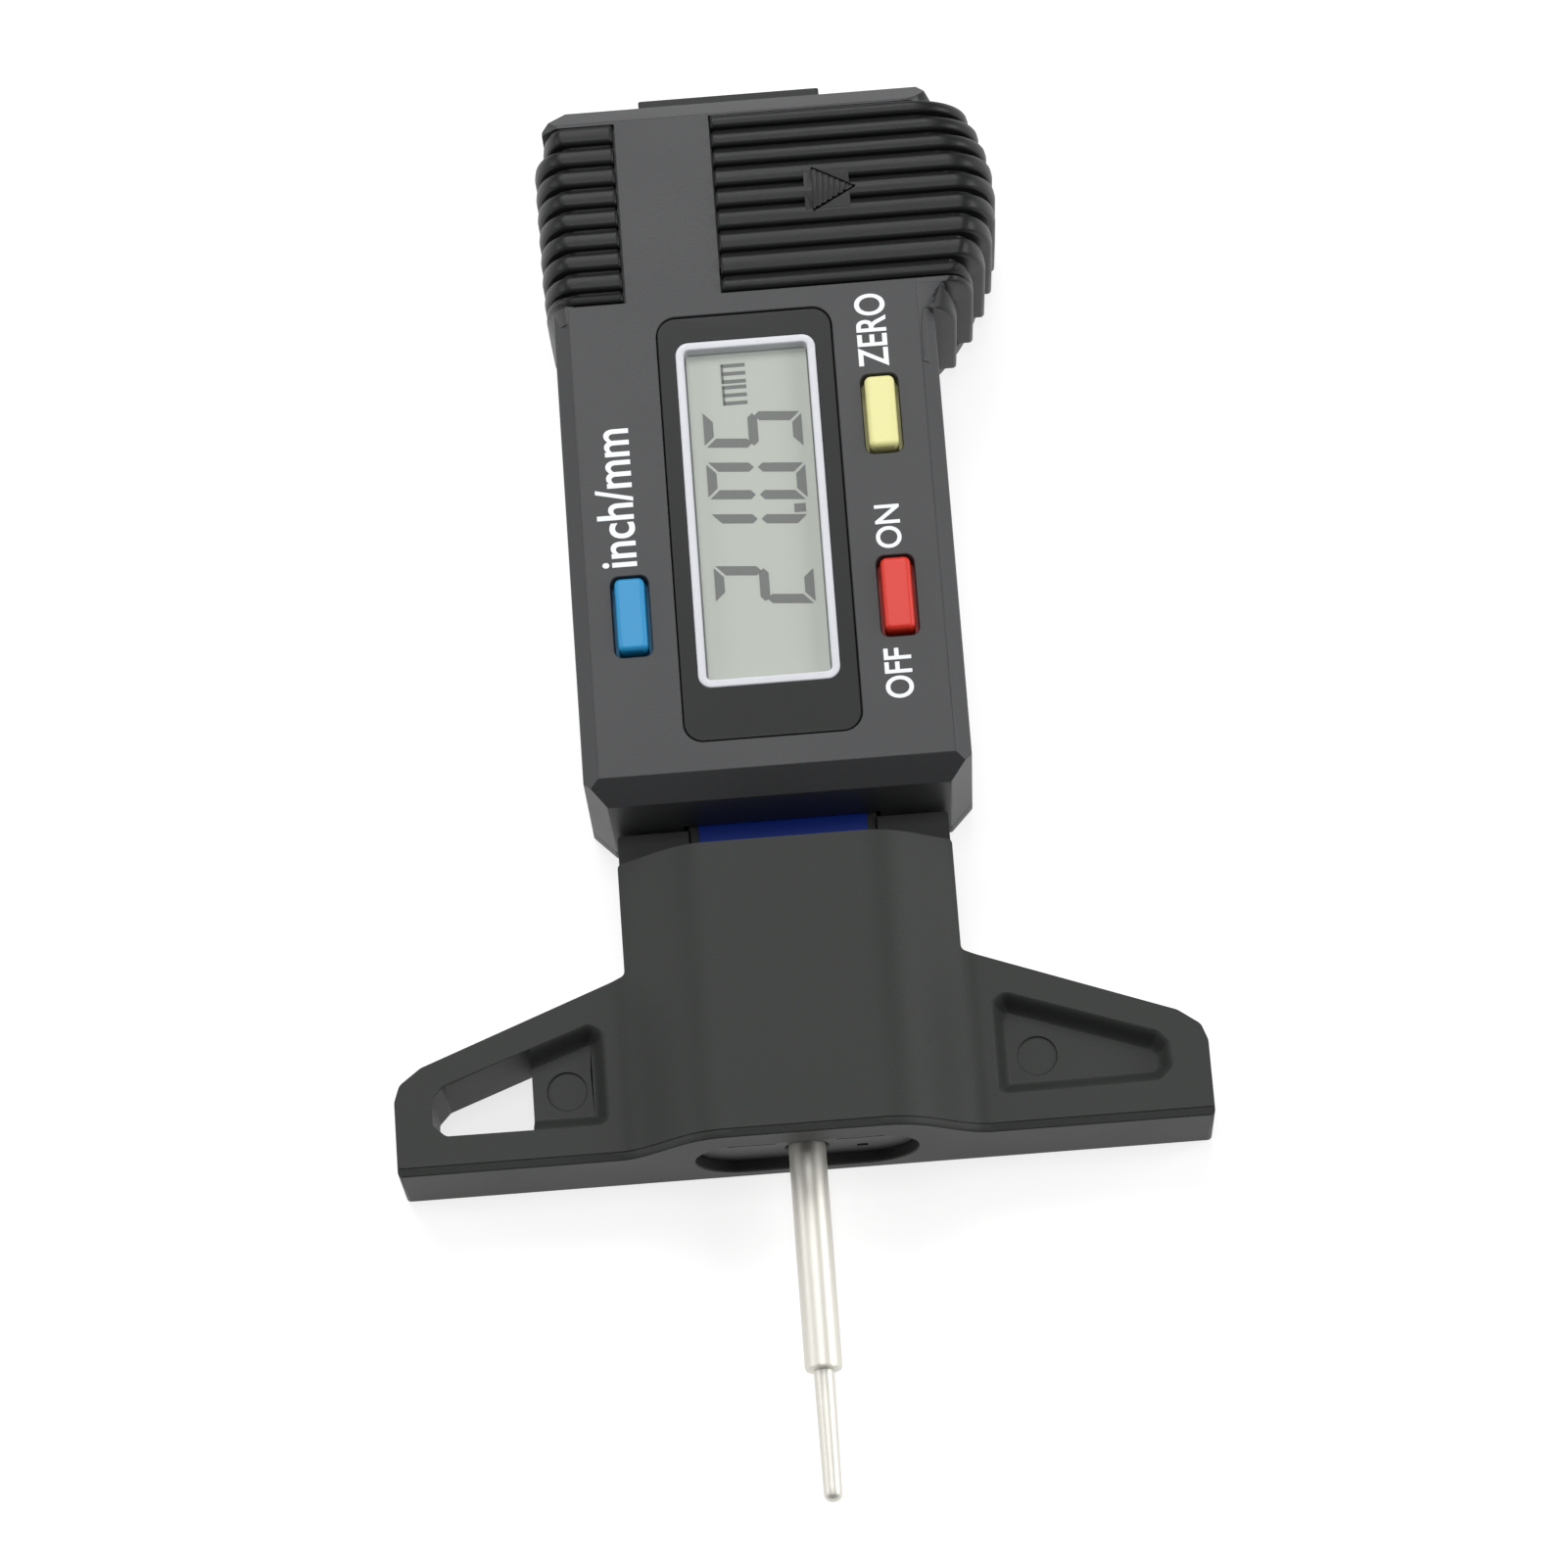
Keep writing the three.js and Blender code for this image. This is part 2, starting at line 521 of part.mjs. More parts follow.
function batteryDoor() {
  const y0 = DOOR_MARKS[0];
  const y1 = DOOR_MARKS[DOOR_MARKS.length - 1];
  const inner = SL_HALF - 0.05;
  const reaches = [FLANK_MARKS[1], ...DOOR_MARKS.slice(1, -1)].map(reachAt);
  let body = ribbed(1, DOOR_X + 0.03, DOOR_MARKS, reaches, bendX, RIB_Z, COVER_Z + GAP);
  body = cut(body.intersect(prismX(doorSide(-0.03), -10, 30)), box(-5, inner, 50, 75, 0, DOOR_LOW));
  const pocketShape = new THREE.Shape();
  pocketShape.moveTo(inner - 1, y0 + 2.1);
  for (let i = 0; i <= 8; i++) {
    const y = y0 + 2.1 + (y1 - y0 - 3.3) * i / 8;
    pocketShape.lineTo(bulgeX(y) - 1.9, y);
  }
  pocketShape.lineTo(inner - 1, y1 - 1.2);
  body = cut(body, prismZ(pocketShape, 0, 9.6));
  const tongue = box(DOOR_X - 2, DOOR_X + 0.8, 58.3, 66.9, DOOR_LOW + 0.02, DOOR_LOW + 0.38);
  const island = box(4.59, 7.58, 61.6, 64.3, 12, RIB_Z);
  const arrow = prismZ(shapeOf([[5.09, 61.5], [7.96, 63.1], [5.09, 64.7]]), RIB_Z - 0.16, RIB_Z + 1);
  return cut(join(body, tongue, island), arrow);
}

// ---------------------------------------------------------------- display
function displayBezel() {
  const outer = prismZ(roundRect(BEZEL.x0 + 0.05, BEZEL.x1 - 0.05, BEZEL.y0 + 0.05, BEZEL.y1 - 0.05, BEZEL.r - 0.05),
    ROOF - 0.2, SL_Z - 0.08, 4);
  const flange = prismZ(roundRect(BEZEL.x0 - 0.45, BEZEL.x1 + 0.45, BEZEL.y0 - 0.45, BEZEL.y1 + 0.45, 1.5),
    ROOF - 0.4, ROOF - 0.1, 4);
  return cut(join(outer, flange), prismZ(roundRect(WINDOW.x0, WINDOW.x1, WINDOW.y0, WINDOW.y1, WINDOW.r), 5, 20, 4));
}

function windowFrame() {
  const g = 0.03;
  const outer = prismZ(roundRect(WINDOW.x0 + g, WINDOW.x1 - g, WINDOW.y0 + g, WINDOW.y1 - g, WINDOW.r - g),
    ROOF - 0.3, SL_Z - 0.02, 4);
  const w = FRAME_W;
  return cut(outer, prismZ(roundRect(WINDOW.x0 + w, WINDOW.x1 - w, WINDOW.y0 + w, WINDOW.y1 - w, 0.45), 5, 20, 4));
}

function windowLens() {
  const w = FRAME_W + 0.03;
  return prismZ(roundRect(WINDOW.x0 + w, WINDOW.x1 - w, WINDOW.y0 + w, WINDOW.y1 - w, 0.42), UPPER_GLASS + 0.22, SL_Z - 0.3, 4);
}

// two plates of glass, the upper one smaller so that it sits inside the window frame
function lcdPanel() {
  return join(box(-5, 5, 27, 53.6, GLASS_LOW, GLASS_HIGH), box(-4, 3.9, 29.7, 52.35, GLASS_HIGH - 0.1, UPPER_GLASS));
}

function buttonCap(b) {
  const cap = prismZ(roundRect(b.x - CAP_HALF_X, b.x + CAP_HALF_X, b.y - CAP_HALF_Y, b.y + CAP_HALF_Y, 0.4),
    10.2, CAP_TOP, 3);
  const flange = box(b.x - CAP_HALF_X - 0.55, b.x + CAP_HALF_X + 0.55, b.y - CAP_HALF_Y - 0.6, b.y + CAP_HALF_Y + 0.6,
    10, ROOF - 0.15);
  return join(cap, flange, cylinderZ(b.x, b.y, 0.75, 8.75, 10.1, 16));
}

function keySwitch(b) {
  return join(box(b.x - 1.5, b.x + 1.5, b.y - 1.8, b.y + 1.8, BOARD_HIGH + 0.02, 7.7),
    cylinderZ(b.x, b.y, 0.8, 7.6, 8.75 - KEY_TRAVEL - 0.05, 16));
}

// ---------------------------------------------------------------- battery and contacts
function cell() {
  const bulk = cylinderZ(CELL_X, CELL_Y, CELL_R, CELL_LOW + 0.5, CELL_HIGH, 40);
  return join(bulk, cylinderZ(CELL_X, CELL_Y, CELL_R - 0.9, CELL_LOW, CELL_LOW + 0.6, 32));
}

// a thin strip along a (y, z) line, from x0 to x1
function leafX(line, thick, x0, x1) {
  const back = [...line].reverse().map(([y, z]) => [y, z + thick]);
  return prismX([...line, ...back], x0, x1);
}

function contactNegative() {
  const foot = box(3, 6, 53.8, 55.1, BOARD_HIGH + 0.03, BOARD_HIGH + 0.15);
  const riser = box(3, 6, 55.05, 55.2, 5.74, BOARD_HIGH + 0.15);
  return join(foot, riser, leafX([[55.1, 5.72], [58, 5.68], [62, 5.76], [66, 5.68]], 0.12, 3, 6));
}

function contactPositive() {
  const line = [[-1.1, 53.6], [-1.1, 61], [-0.78, 62.6], [-1.1, 64.2], [-1.1, 65]];
  const back = [...line].reverse().map(([x, y]) => [x + 0.14, y]);
  const leaf = prismZ(shapeOf([...line, ...back]), BOARD_HIGH + 0.15, 9.2);
  return join(leaf, box(-1.1, 0.6, 53.6, 54.6, BOARD_HIGH + 0.03, BOARD_HIGH + 0.2));
}

// a bowed leaf beside the beam that takes up the slider's play
function gibSpring() {
  const line = [[6.62, 25], [6.2, 39], [6.62, 53]];
  const back = [...line].reverse().map(([x, y]) => [x + 0.12, y]);
  return prismZ(shapeOf([...line, ...back]), 2.2, 5.2);
}

function addAll(parent, entries) {
  for (const [name, body, look] of entries) {
    parent.add(mesh(name, body, look));
  }
}

// ---------------------------------------------------------------- assembly
const group = new THREE.Group();
group.position.y = (PROTRUSION - BEAM_END) / 2; // the origin is under the middle of the whole gauge

const beamGroup = new THREE.Group();
addAll(beamGroup, [
  ['foot', footBase(), MATERIALS.foot],
  ['probe_guide', probeGuide(), MATERIALS.black],
  ['beam', beam(), MATERIALS.foot],
  ['scale_strip', box(-STRIP_HALF, STRIP_HALF, BEAM_START + 0.2, STRIP_END, BEAM_HIGH, STRIP_HIGH), MATERIALS.film],
  ['beam_screw_left', screw(SCREW_SEATS.foot[0], 1.7, 0.8, 0.85, 4.4), MATERIALS.steel],
  ['beam_screw_right', screw(SCREW_SEATS.foot[1], 1.7, 0.8, 0.85, 4.4), MATERIALS.steel],
]);

const sliderGroup = new THREE.Group();
addAll(sliderGroup, [
  ['front_housing', frontHousing(), MATERIALS.shell],
  ['back_cover', backCover(), MATERIALS.shell],
  ['display_bezel', displayBezel(), MATERIALS.bezel],
  ['window_frame', windowFrame(), MATERIALS.frame],
  ['window_lens', windowLens(), MATERIALS.lens],
  ['lcd_panel', lcdPanel(), MATERIALS.lcd],
  ['zebra_left', box(-5, -3.9, 28, 52.6, BOARD_HIGH + 0.02, GLASS_LOW - 0.02), MATERIALS.rubber],
  ['zebra_right', box(3.9, 5, 28, 52.6, BOARD_HIGH + 0.02, GLASS_LOW - 0.02), MATERIALS.rubber],
  ['main_board', box(-10.6, 10.6, 23.8, 55, BOARD_LOW, BOARD_HIGH), MATERIALS.board],
  ['controller_chip', cylinderZ(0, 46, 2.6, BOARD_HIGH + 0.02, 7.8, 20), MATERIALS.black],
  ['battery', cell(), MATERIALS.steel],
  ['contact_positive', contactPositive(), MATERIALS.brass],
  ['contact_negative', contactNegative(), MATERIALS.brass],
  ['gib_spring', gibSpring(), MATERIALS.brass],
  ['probe_rod', probeRod(), MATERIALS.steel],
  ['probe_anchor', probeAnchor(), MATERIALS.brass],
  ['anchor_screw', screw(SCREW_SEATS.anchor, 1.2, 0.5, 0.66, 3.4), MATERIALS.steel],
  ['battery_door', batteryDoor(), MATERIALS.shell],
]);
SCREW_SEATS.cover.forEach((seat, i) => {
  sliderGroup.add(mesh(`case_screw_${i + 1}`, screw(seat, 1.7, 0.75, 0.85, 4.8), MATERIALS.steel));
});
for (const b of BUTTONS) {
  sliderGroup.add(mesh(`${b.name}_switch`, keySwitch(b), MATERIALS.black));
  sliderGroup.add(mesh(`${b.name}_button`, buttonCap(b), { color: b.color, roughness: 0.4, metalness: 0 }));
}

group.add(beamGroup, sliderGroup);
export default group;
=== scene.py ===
"""Digital tread depth gauge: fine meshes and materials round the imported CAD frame.

Working millimetres: y = 0 is the measuring face, z = 0 the plane of the back, x = 0 the centre line.
"""
import json
import math

import bmesh
import bpy
import numpy as np
from mathutils import Matrix, Vector

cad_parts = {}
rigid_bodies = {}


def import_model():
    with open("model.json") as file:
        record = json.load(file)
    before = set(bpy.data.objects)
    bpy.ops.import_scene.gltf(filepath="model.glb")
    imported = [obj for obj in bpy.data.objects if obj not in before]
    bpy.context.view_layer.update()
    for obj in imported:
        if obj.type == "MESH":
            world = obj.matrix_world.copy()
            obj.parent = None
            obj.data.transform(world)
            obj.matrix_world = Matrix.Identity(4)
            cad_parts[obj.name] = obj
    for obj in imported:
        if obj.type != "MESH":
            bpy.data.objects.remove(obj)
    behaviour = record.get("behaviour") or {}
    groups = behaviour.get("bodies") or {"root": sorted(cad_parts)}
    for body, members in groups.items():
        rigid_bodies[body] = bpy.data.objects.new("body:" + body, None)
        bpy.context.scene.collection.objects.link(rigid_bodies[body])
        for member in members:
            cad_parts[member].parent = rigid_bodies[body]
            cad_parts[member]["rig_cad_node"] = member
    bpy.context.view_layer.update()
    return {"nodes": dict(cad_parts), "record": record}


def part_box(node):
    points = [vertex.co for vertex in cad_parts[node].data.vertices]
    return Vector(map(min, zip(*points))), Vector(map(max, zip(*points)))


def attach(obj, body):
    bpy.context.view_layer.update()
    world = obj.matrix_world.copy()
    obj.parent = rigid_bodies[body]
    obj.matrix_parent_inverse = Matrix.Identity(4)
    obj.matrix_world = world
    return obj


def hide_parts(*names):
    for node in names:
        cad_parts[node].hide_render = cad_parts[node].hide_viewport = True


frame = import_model()
MM = 0.001
ORIGIN = Vector((0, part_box("foot")[0].y, 0))  # the measuring face's centre line on the back plane
scene = bpy.context.scene
COLL = scene.collection


# ------------------------------------------------------------------ camera
VIEW_AZIMUTH, VIEW_HEIGHT, VIEW_ROLL = (math.radians(a) for a in (1.5, 71.5, -4.304))
VIEW_DISTANCE = 386.7
VIEW_TARGET = Vector((0.290, 24.319, 6.0))
FOCAL_LENGTH = 137.16


def place_camera():
    az, tilt, roll = VIEW_AZIMUTH, VIEW_HEIGHT, VIEW_ROLL
    back = Vector((math.sin(az) * math.cos(tilt), -math.cos(az) * math.cos(tilt), math.sin(tilt)))
    right0 = Vector((0, 1, 0)).cross(back).normalized()
    up0 = back.cross(right0)
    right = math.cos(roll) * right0 + math.sin(roll) * up0
    up = -math.sin(roll) * right0 + math.cos(roll) * up0
    at = (VIEW_TARGET + back * VIEW_DISTANCE) * MM + ORIGIN
    data = bpy.data.cameras.new("Camera")
    data.sensor_width = 36
    data.lens = FOCAL_LENGTH
    data.clip_start = 0.01
    data.clip_end = 20
    cam = bpy.data.objects.new("Camera", data)
    COLL.objects.link(cam)
    rot = Matrix((right, up, back)).transposed()
    cam.matrix_world = Matrix.Translation(at) @ rot.to_4x4()
    scene.camera = cam


# ------------------------------------------------------------------ outlines
def fillet(points, radius, steps=5):
    """Rounds a polygon's corners; radius is one number or one for each corner."""
    pts = [np.array(p, float) for p in points]
    radii = [radius] * len(pts) if np.isscalar(radius) else radius
    out = []
    for i, p in enumerate(pts):
        a, b, r = pts[i - 1], pts[(i + 1) % len(pts)], radii[i]
        la, lb = np.linalg.norm(a - p), np.linalg.norm(b - p)
        va, vb = (a - p) / la, (b - p) / lb
        angle = math.acos(max(-1, min(1, float(va @ vb))))
        if r <= 0 or angle > math.pi - 0.03:
            out.append(p)
            continue
        d = min(r / math.tan(angle / 2), 0.48 * la, 0.48 * lb)
        rr = d * math.tan(angle / 2)
        mid = (va + vb) / np.linalg.norm(va + vb)
        c = p + mid * rr / math.sin(angle / 2)
        s, e = p + va * d - c, p + vb * d - c
        sweep = math.pi - angle
        turn = 1 if s[0] * e[1] - s[1] * e[0] > 0 else -1
        for k in range(steps + 1):
            t = turn * sweep * k / steps
            out.append(c + np.array([s[0] * math.cos(t) - s[1] * math.sin(t),
                                     s[0] * math.sin(t) + s[1] * math.cos(t)]))
    return np.array(out)


def rect(x0, x1, y0, y1, r=0.0, steps=6):
    corners = [(x0, y0), (x1, y0), (x1, y1), (x0, y1)]
    return fillet(corners, r, steps) if r else np.array(corners, float)


def circle(x, y, r, n=48):
    a = np.linspace(0, 2 * math.pi, n, endpoint=False)
    return np.stack([x + r * np.cos(a), y + r * np.sin(a)], 1)


def stadium(half, low, high):
    """A slot's outline: two half rounds joined by straight sides, half wide either way."""
    n = 14
    r = (high - low) / 2
    zc = (high + low) / 2
    right = [(half - r + r * math.cos(a), zc + r * math.sin(a))
             for a in np.linspace(-math.pi / 2, math.pi / 2, n)]
    left = [(-half + r + r * math.cos(a), zc + r * math.sin(a))
            for a in np.linspace(math.pi / 2, 1.5 * math.pi, n)]
    return np.array(right + left)


def inset(points, d):
    """Moves an anticlockwise outline inwards by d."""
    p = np.array(points, float)
    e1 = p - np.roll(p, 1, 0)
    e2 = np.roll(p, -1, 0) - p
    e1 /= np.linalg.norm(e1, axis=1)[:, None]
    e2 /= np.linalg.norm(e2, axis=1)[:, None]
    n1 = np.stack([-e1[:, 1], e1[:, 0]], 1)
    n2 = np.stack([-e2[:, 1], e2[:, 0]], 1)
    return p + d * (n1 + n2) / (1 + (n1 * n2).sum(1))[:, None]


# ------------------------------------------------------------------ solids
def to3(points, w, axis):
    """Stands an outline in space, at the place w along its axis."""
    p = np.asarray(points, float)
    w = np.full(len(p), float(w))
    if axis == "Z":
        return np.stack([p[:, 0], p[:, 1], w], 1)
    if axis == "Y":
        return np.stack([p[:, 0], w, p[:, 1]], 1)
    return np.stack([w, p[:, 0], p[:, 1]], 1)


def loft(rings, closed=False):
    """A closed solid through rings that have equally many points."""
    n = len(rings[0])
    verts = np.concatenate(rings)
    faces = []
    count = len(rings)
    for k in range(count if closed else count - 1):
        a, b = k * n, ((k + 1) % count) * n
        for i in range(n):
            j = (i + 1) % n
            faces.append((a + i, a + j, b + j, b + i))
    if not closed:
        faces.append(tuple(range(n))[::-1])
        faces.append(tuple(range((count - 1) * n, count * n)))
    mesh = bpy.data.meshes.new("work")
    at = np.array([ORIGIN.x, ORIGIN.y, ORIGIN.z])
    mesh.from_pydata([tuple(v) for v in verts * MM + at], [], faces)
    bm = bmesh.new()
    bm.from_mesh(mesh)
    bmesh.ops.recalc_face_normals(bm, faces=bm.faces)
    bm.to_mesh(mesh)
    bm.free()
    o = bpy.data.objects.new("work", mesh)
    COLL.objects.link(o)
    return o


def prism(axis, points, a, b):
    """An outline drawn straight from a to b along its axis."""
    return loft([to3(points, a, axis), to3(points, b, axis)])


def pillow(axis, outline, levels):
    """levels is [(w, inset)]: the outline at each height, moved inwards by its inset."""
    return loft([to3(inset(outline, d) if d else outline, w, axis) for w, d in levels])


def block(x0, x1, y0, y1, z0, z1):
    return prism("Z", rect(x0, x1, y0, y1), z0, z1)


def cyl(axis, u, v, r, a, b, n=48):
    return prism(axis, circle(u, v, r, n), a, b)


def turned(profile, place, axis="Z", n=64):
    """A [radius, height] profile, closed on the axis, turned about a line through place."""
    rings = []
    for r, h in profile:
        rings.append(to3(circle(place[0], place[1], max(r, 1e-4), n), h, axis))
    return loft(rings)


def round_edge(w, size, steps=4, sign=1):
    """Levels of a quarter-round edge that ends at height w; sign 1 tops a solid, -1 starts one."""
    out = []
    for k in range(steps + 1):
        a = math.pi / 2 * k / steps
        out.append((w - sign * size * (1 - math.sin(a)), size * (1 - math.cos(a))))
    return out if sign > 0 else out[::-1]


def bake(o):
    """Applies the object's modifiers."""
    deps = bpy.context.evaluated_depsgraph_get()
    mesh = bpy.data.meshes.new_from_object(o.evaluated_get(deps))
    o.modifiers.clear()
    o.data = mesh
    return o


def boolean(base, operation, tools):
    for t in tools:
        m = base.modifiers.new("b", "BOOLEAN")
        m.operation = operation
        m.solver = "MANIFOLD"
        m.object = t
    bake(base)
    for t in tools:
        bpy.data.objects.remove(t)
    return base


def cut(base, *tools):
    return boolean(base, "DIFFERENCE", tools)


def add(base, *tools):
    return boolean(base, "UNION", tools)


def common(base, *tools):
    return boolean(base, "INTERSECT", tools)


EDGE_ANGLE = math.radians(32)  # sharper edges are bevelled and shaded as edges
WELD = 2e-6


def piece(o, name, body, material, stands_for=(), bevel=0.0):
    """Names a finished solid, eases its edges, shades it and puts it on its body."""
    bm = bmesh.new()
    bm.from_mesh(o.data)
    bmesh.ops.remove_doubles(bm, verts=bm.verts, dist=WELD)
    bmesh.ops.dissolve_degenerate(bm, edges=bm.edges, dist=WELD)
    bm.to_mesh(o.data)
    bm.free()
    if bevel:
        m = o.modifiers.new("bevel", "BEVEL")
        m.width = bevel * MM
        m.segments = 2
        m.limit_method = "ANGLE"
        m.angle_limit = EDGE_ANGLE
        m.use_clamp_overlap = True
        m.miter_outer = "MITER_ARC"
        bake(o)
    o.name = name
    o.data.name = name
    o.data.polygons.foreach_set("use_smooth", [True] * len(o.data.polygons))
    o.data.set_sharp_from_angle(angle=EDGE_ANGLE)
    m = o.modifiers.new("normals", "WEIGHTED_NORMAL")
    m.keep_sharp = True
    m.weight = 60
    o.data.materials.clear()
    o.data.materials.append(material)
    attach(o, body)
    if stands_for:
        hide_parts(*stands_for)
    return o


# ------------------------------------------------------------------ materials
def material(name, color, rough=0.5, metal=0.0, **sockets):
    m = bpy.data.materials.new(name)
    m.use_nodes = True
    b = m.node_tree.nodes["Principled BSDF"]
    b.inputs["Base Color"].default_value = (*color, 1)
    b.inputs["Roughness"].default_value = rough
    b.inputs["Metallic"].default_value = metal
    for key, value in sockets.items():
        b.inputs[key.replace("_", " ")].default_value = value
    return m


BUMP_HEIGHT = 0.02
NOISE_LOW, NOISE_HIGH = 0.3, 0.7  # the span of the mixed noise that the ramps use


def textured(m, color, spread=0.12, grain=9000.0, bump=0.12, cloud=120.0, rough=None, stretch=(1, 1, 1)):
    """Colour clouding, fine moulded grain and roughness variation on a Principled material."""
    nodes, links = m.node_tree.nodes, m.node_tree.links
    b = nodes["Principled BSDF"]
    coord = nodes.new("ShaderNodeTexCoord")
    mapping = nodes.new("ShaderNodeMapping")
    mapping.inputs["Scale"].default_value = stretch
    links.new(coord.outputs["Object"], mapping.inputs["Vector"])
    big = nodes.new("ShaderNodeTexNoise")
    big.inputs["Scale"].default_value = cloud
    big.inputs["Detail"].default_value = 4
    fine = nodes.new("ShaderNodeTexNoise")
    fine.inputs["Scale"].default_value = grain
    fine.inputs["Detail"].default_value = 3
    links.new(mapping.outputs["Vector"], big.inputs["Vector"])
    links.new(mapping.outputs["Vector"], fine.inputs["Vector"])
    both = nodes.new("ShaderNodeMath")
    both.operation = "MULTIPLY_ADD"
    both.inputs[1].default_value = 0.5
    links.new(big.outputs["Fac"], both.inputs[0])
    half = nodes.new("ShaderNodeMath")
    half.operation = "MULTIPLY"
    half.inputs[1].default_value = 0.5
    links.new(fine.outputs["Fac"], half.inputs[0])
    links.new(half.outputs[0], both.inputs[2])
    ramp = nodes.new("ShaderNodeValToRGB")
    dark, light = ramp.color_ramp.elements
    dark.position, light.position = NOISE_LOW, NOISE_HIGH
    dark.color = (*[c * (1 - spread) for c in color], 1)
    light.color = (*[min(1, c * (1 + spread)) for c in color], 1)
    links.new(both.outputs[0], ramp.inputs["Fac"])
    links.new(ramp.outputs["Color"], b.inputs["Base Color"])
    if rough:
        span = nodes.new("ShaderNodeMapRange")
        span.inputs["From Min"].default_value = NOISE_LOW
        span.inputs["From Max"].default_value = NOISE_HIGH
        span.inputs["To Min"].default_value = rough[0]
        span.inputs["To Max"].default_value = rough[1]
        links.new(both.outputs[0], span.inputs["Value"])
        links.new(span.outputs["Result"], b.inputs["Roughness"])
    if bump:
        node = nodes.new("ShaderNodeBump")
        node.inputs["Strength"].default_value = bump
        node.inputs["Distance"].default_value = BUMP_HEIGHT * MM
        links.new(fine.outputs["Fac"], node.inputs["Height"])
        links.new(node.outputs["Normal"], b.inputs["Normal"])
    return m


def build_materials():
    made = {}

    def plastic(name, color, rough, specular=0.5, **kw):
        base = material(name, color, rough[0], Specular_IOR_Level=specular)
        made[name] = textured(base, color, rough=rough, **kw)

    plastic("shell_plastic", (0.028, 0.029, 0.031), (0.44, 0.54), bump=0.5, spread=0.12)
    plastic("grip_plastic", (0.011, 0.0115, 0.0115), (0.34, 0.44), bump=0.4, spread=0.12, specular=0.24)
    plastic("foot_plastic", (0.0285, 0.031, 0.029), (0.46, 0.58), bump=0.6, spread=0.15, specular=0.22)
    plastic("black_plastic", (0.012, 0.012, 0.013), (0.35, 0.5), bump=0.3)
    plastic("bezel_plastic", (0.016, 0.018, 0.0165), (0.30, 0.34), bump=0.0, spread=0.04, specular=0.19)
    plastic("frame_plastic", (0.60, 0.61, 0.65), (0.25, 0.35), bump=0.1, spread=0.04)
    plastic("lcd", (0.39, 0.42, 0.37), (0.5, 0.6), bump=0.0, spread=0.015)
    plastic("lcd_ink", (0.036, 0.040, 0.037), (0.4, 0.5), bump=0.0, spread=0.05)
    plastic("legend", (0.80, 0.82, 0.84), (0.4, 0.5), bump=0.0, spread=0.03)
    plastic("zebra_rubber", (0.03, 0.03, 0.033), (0.6, 0.8), stretch=(1, 30, 1), grain=2000.0)
    plastic("board", (0.015, 0.11, 0.04), (0.35, 0.5), bump=0.2)
    plastic("blue_film", (0.002, 0.020, 0.20), (0.30, 0.4), bump=0.05, spread=0.10, specular=0.15)
    plastic("blue_key", (0.008, 0.245, 0.510), (0.38, 0.48), bump=0.15, spread=0.04)
    plastic("yellow_key", (0.740, 0.710, 0.310), (0.38, 0.48), bump=0.15, spread=0.03)
    plastic("red_key", (0.610, 0.020, 0.008), (0.38, 0.48), bump=0.15, spread=0.04)

    def metal(name, color, rough, **kw):
        made[name] = textured(material(name, color, rough[0], 1.0), color, rough=rough, **kw)

    metal("screw_steel", (0.42, 0.42, 0.43), (0.28, 0.42), bump=0.15, spread=0.10)
    metal("probe_steel", (0.68, 0.665, 0.61), (0.48, 0.54), bump=0.0, spread=0.04,
          stretch=(1, 0.05, 1), grain=6000.0)
    metal("cell_steel", (0.62, 0.62, 0.60), (0.22, 0.34), bump=0.1, spread=0.06)
    metal("contact_brass", (0.70, 0.50, 0.20), (0.25, 0.40), bump=0.1, spread=0.08)

    clear = (0.93, 0.96, 0.94)
    lens = material("lens", clear, 0.04, Alpha=0.06, IOR=1.49)
    made["lens"] = textured(lens, clear, spread=0.01, bump=0.0, rough=(0.03, 0.06))
    return made


MAT = build_materials()
SLOTS = {part["node"]: part["material_slot"] for part in frame["record"]["subparts"]}
for node in frame["nodes"].values():
    node.data.materials.clear()
    node.data.materials.append(MAT[SLOTS[node["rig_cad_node"]]])

# ------------------------------------------------------------------ dimensions
# foot
FOOT_HALF = 26
WING_Z, HUMP_Z, POCKET_Z = 6.35, 10.0, 5.0  # heights of the wings, the hump and the pockets' floors
HUMP_HALF, HUMP_FLANK = 4.6, 7.3  # half the hump's flat, and the width of its run down to a wing
NECK, NECK_END = 10.8, 19.5  # half the neck's width, and its end towards the head
SHELF_HALF, SHELF_END, SHELF_Z = 10.72, 21.75, 5.6  # the low shelf beside the beam
BEVEL_DROP, BEVEL_DEPTH = 0.16, 0.48  # the lean of the edge above the measuring face
EJECTORS = [(15.1, 5.1), (-15.0, 5.12)]
PROBE_Z = 3.4
BEAM_HALF, BEAM_LOW, BEAM_HIGH, BEAM_END = 6.1, 1.9, 5.4, 73.7

# display head
Y0, Y1, HALF, TOP = 22.0, 70.7, 12.45, 12.4  # both ends, half the width, and the face's height
LOW = 1.62  # the split between housing and back cover
END_Z, END_Y0, END_Y1 = 10.8, 23.5, 69.15  # where the bevels of the two ends start
BULGE_X, BULGE_Y, BULGE_R = 5.2, 62.5, 11.95  # the round boss over the cell
COVER_R = 11.15  # the back cover's round, inside the ribs
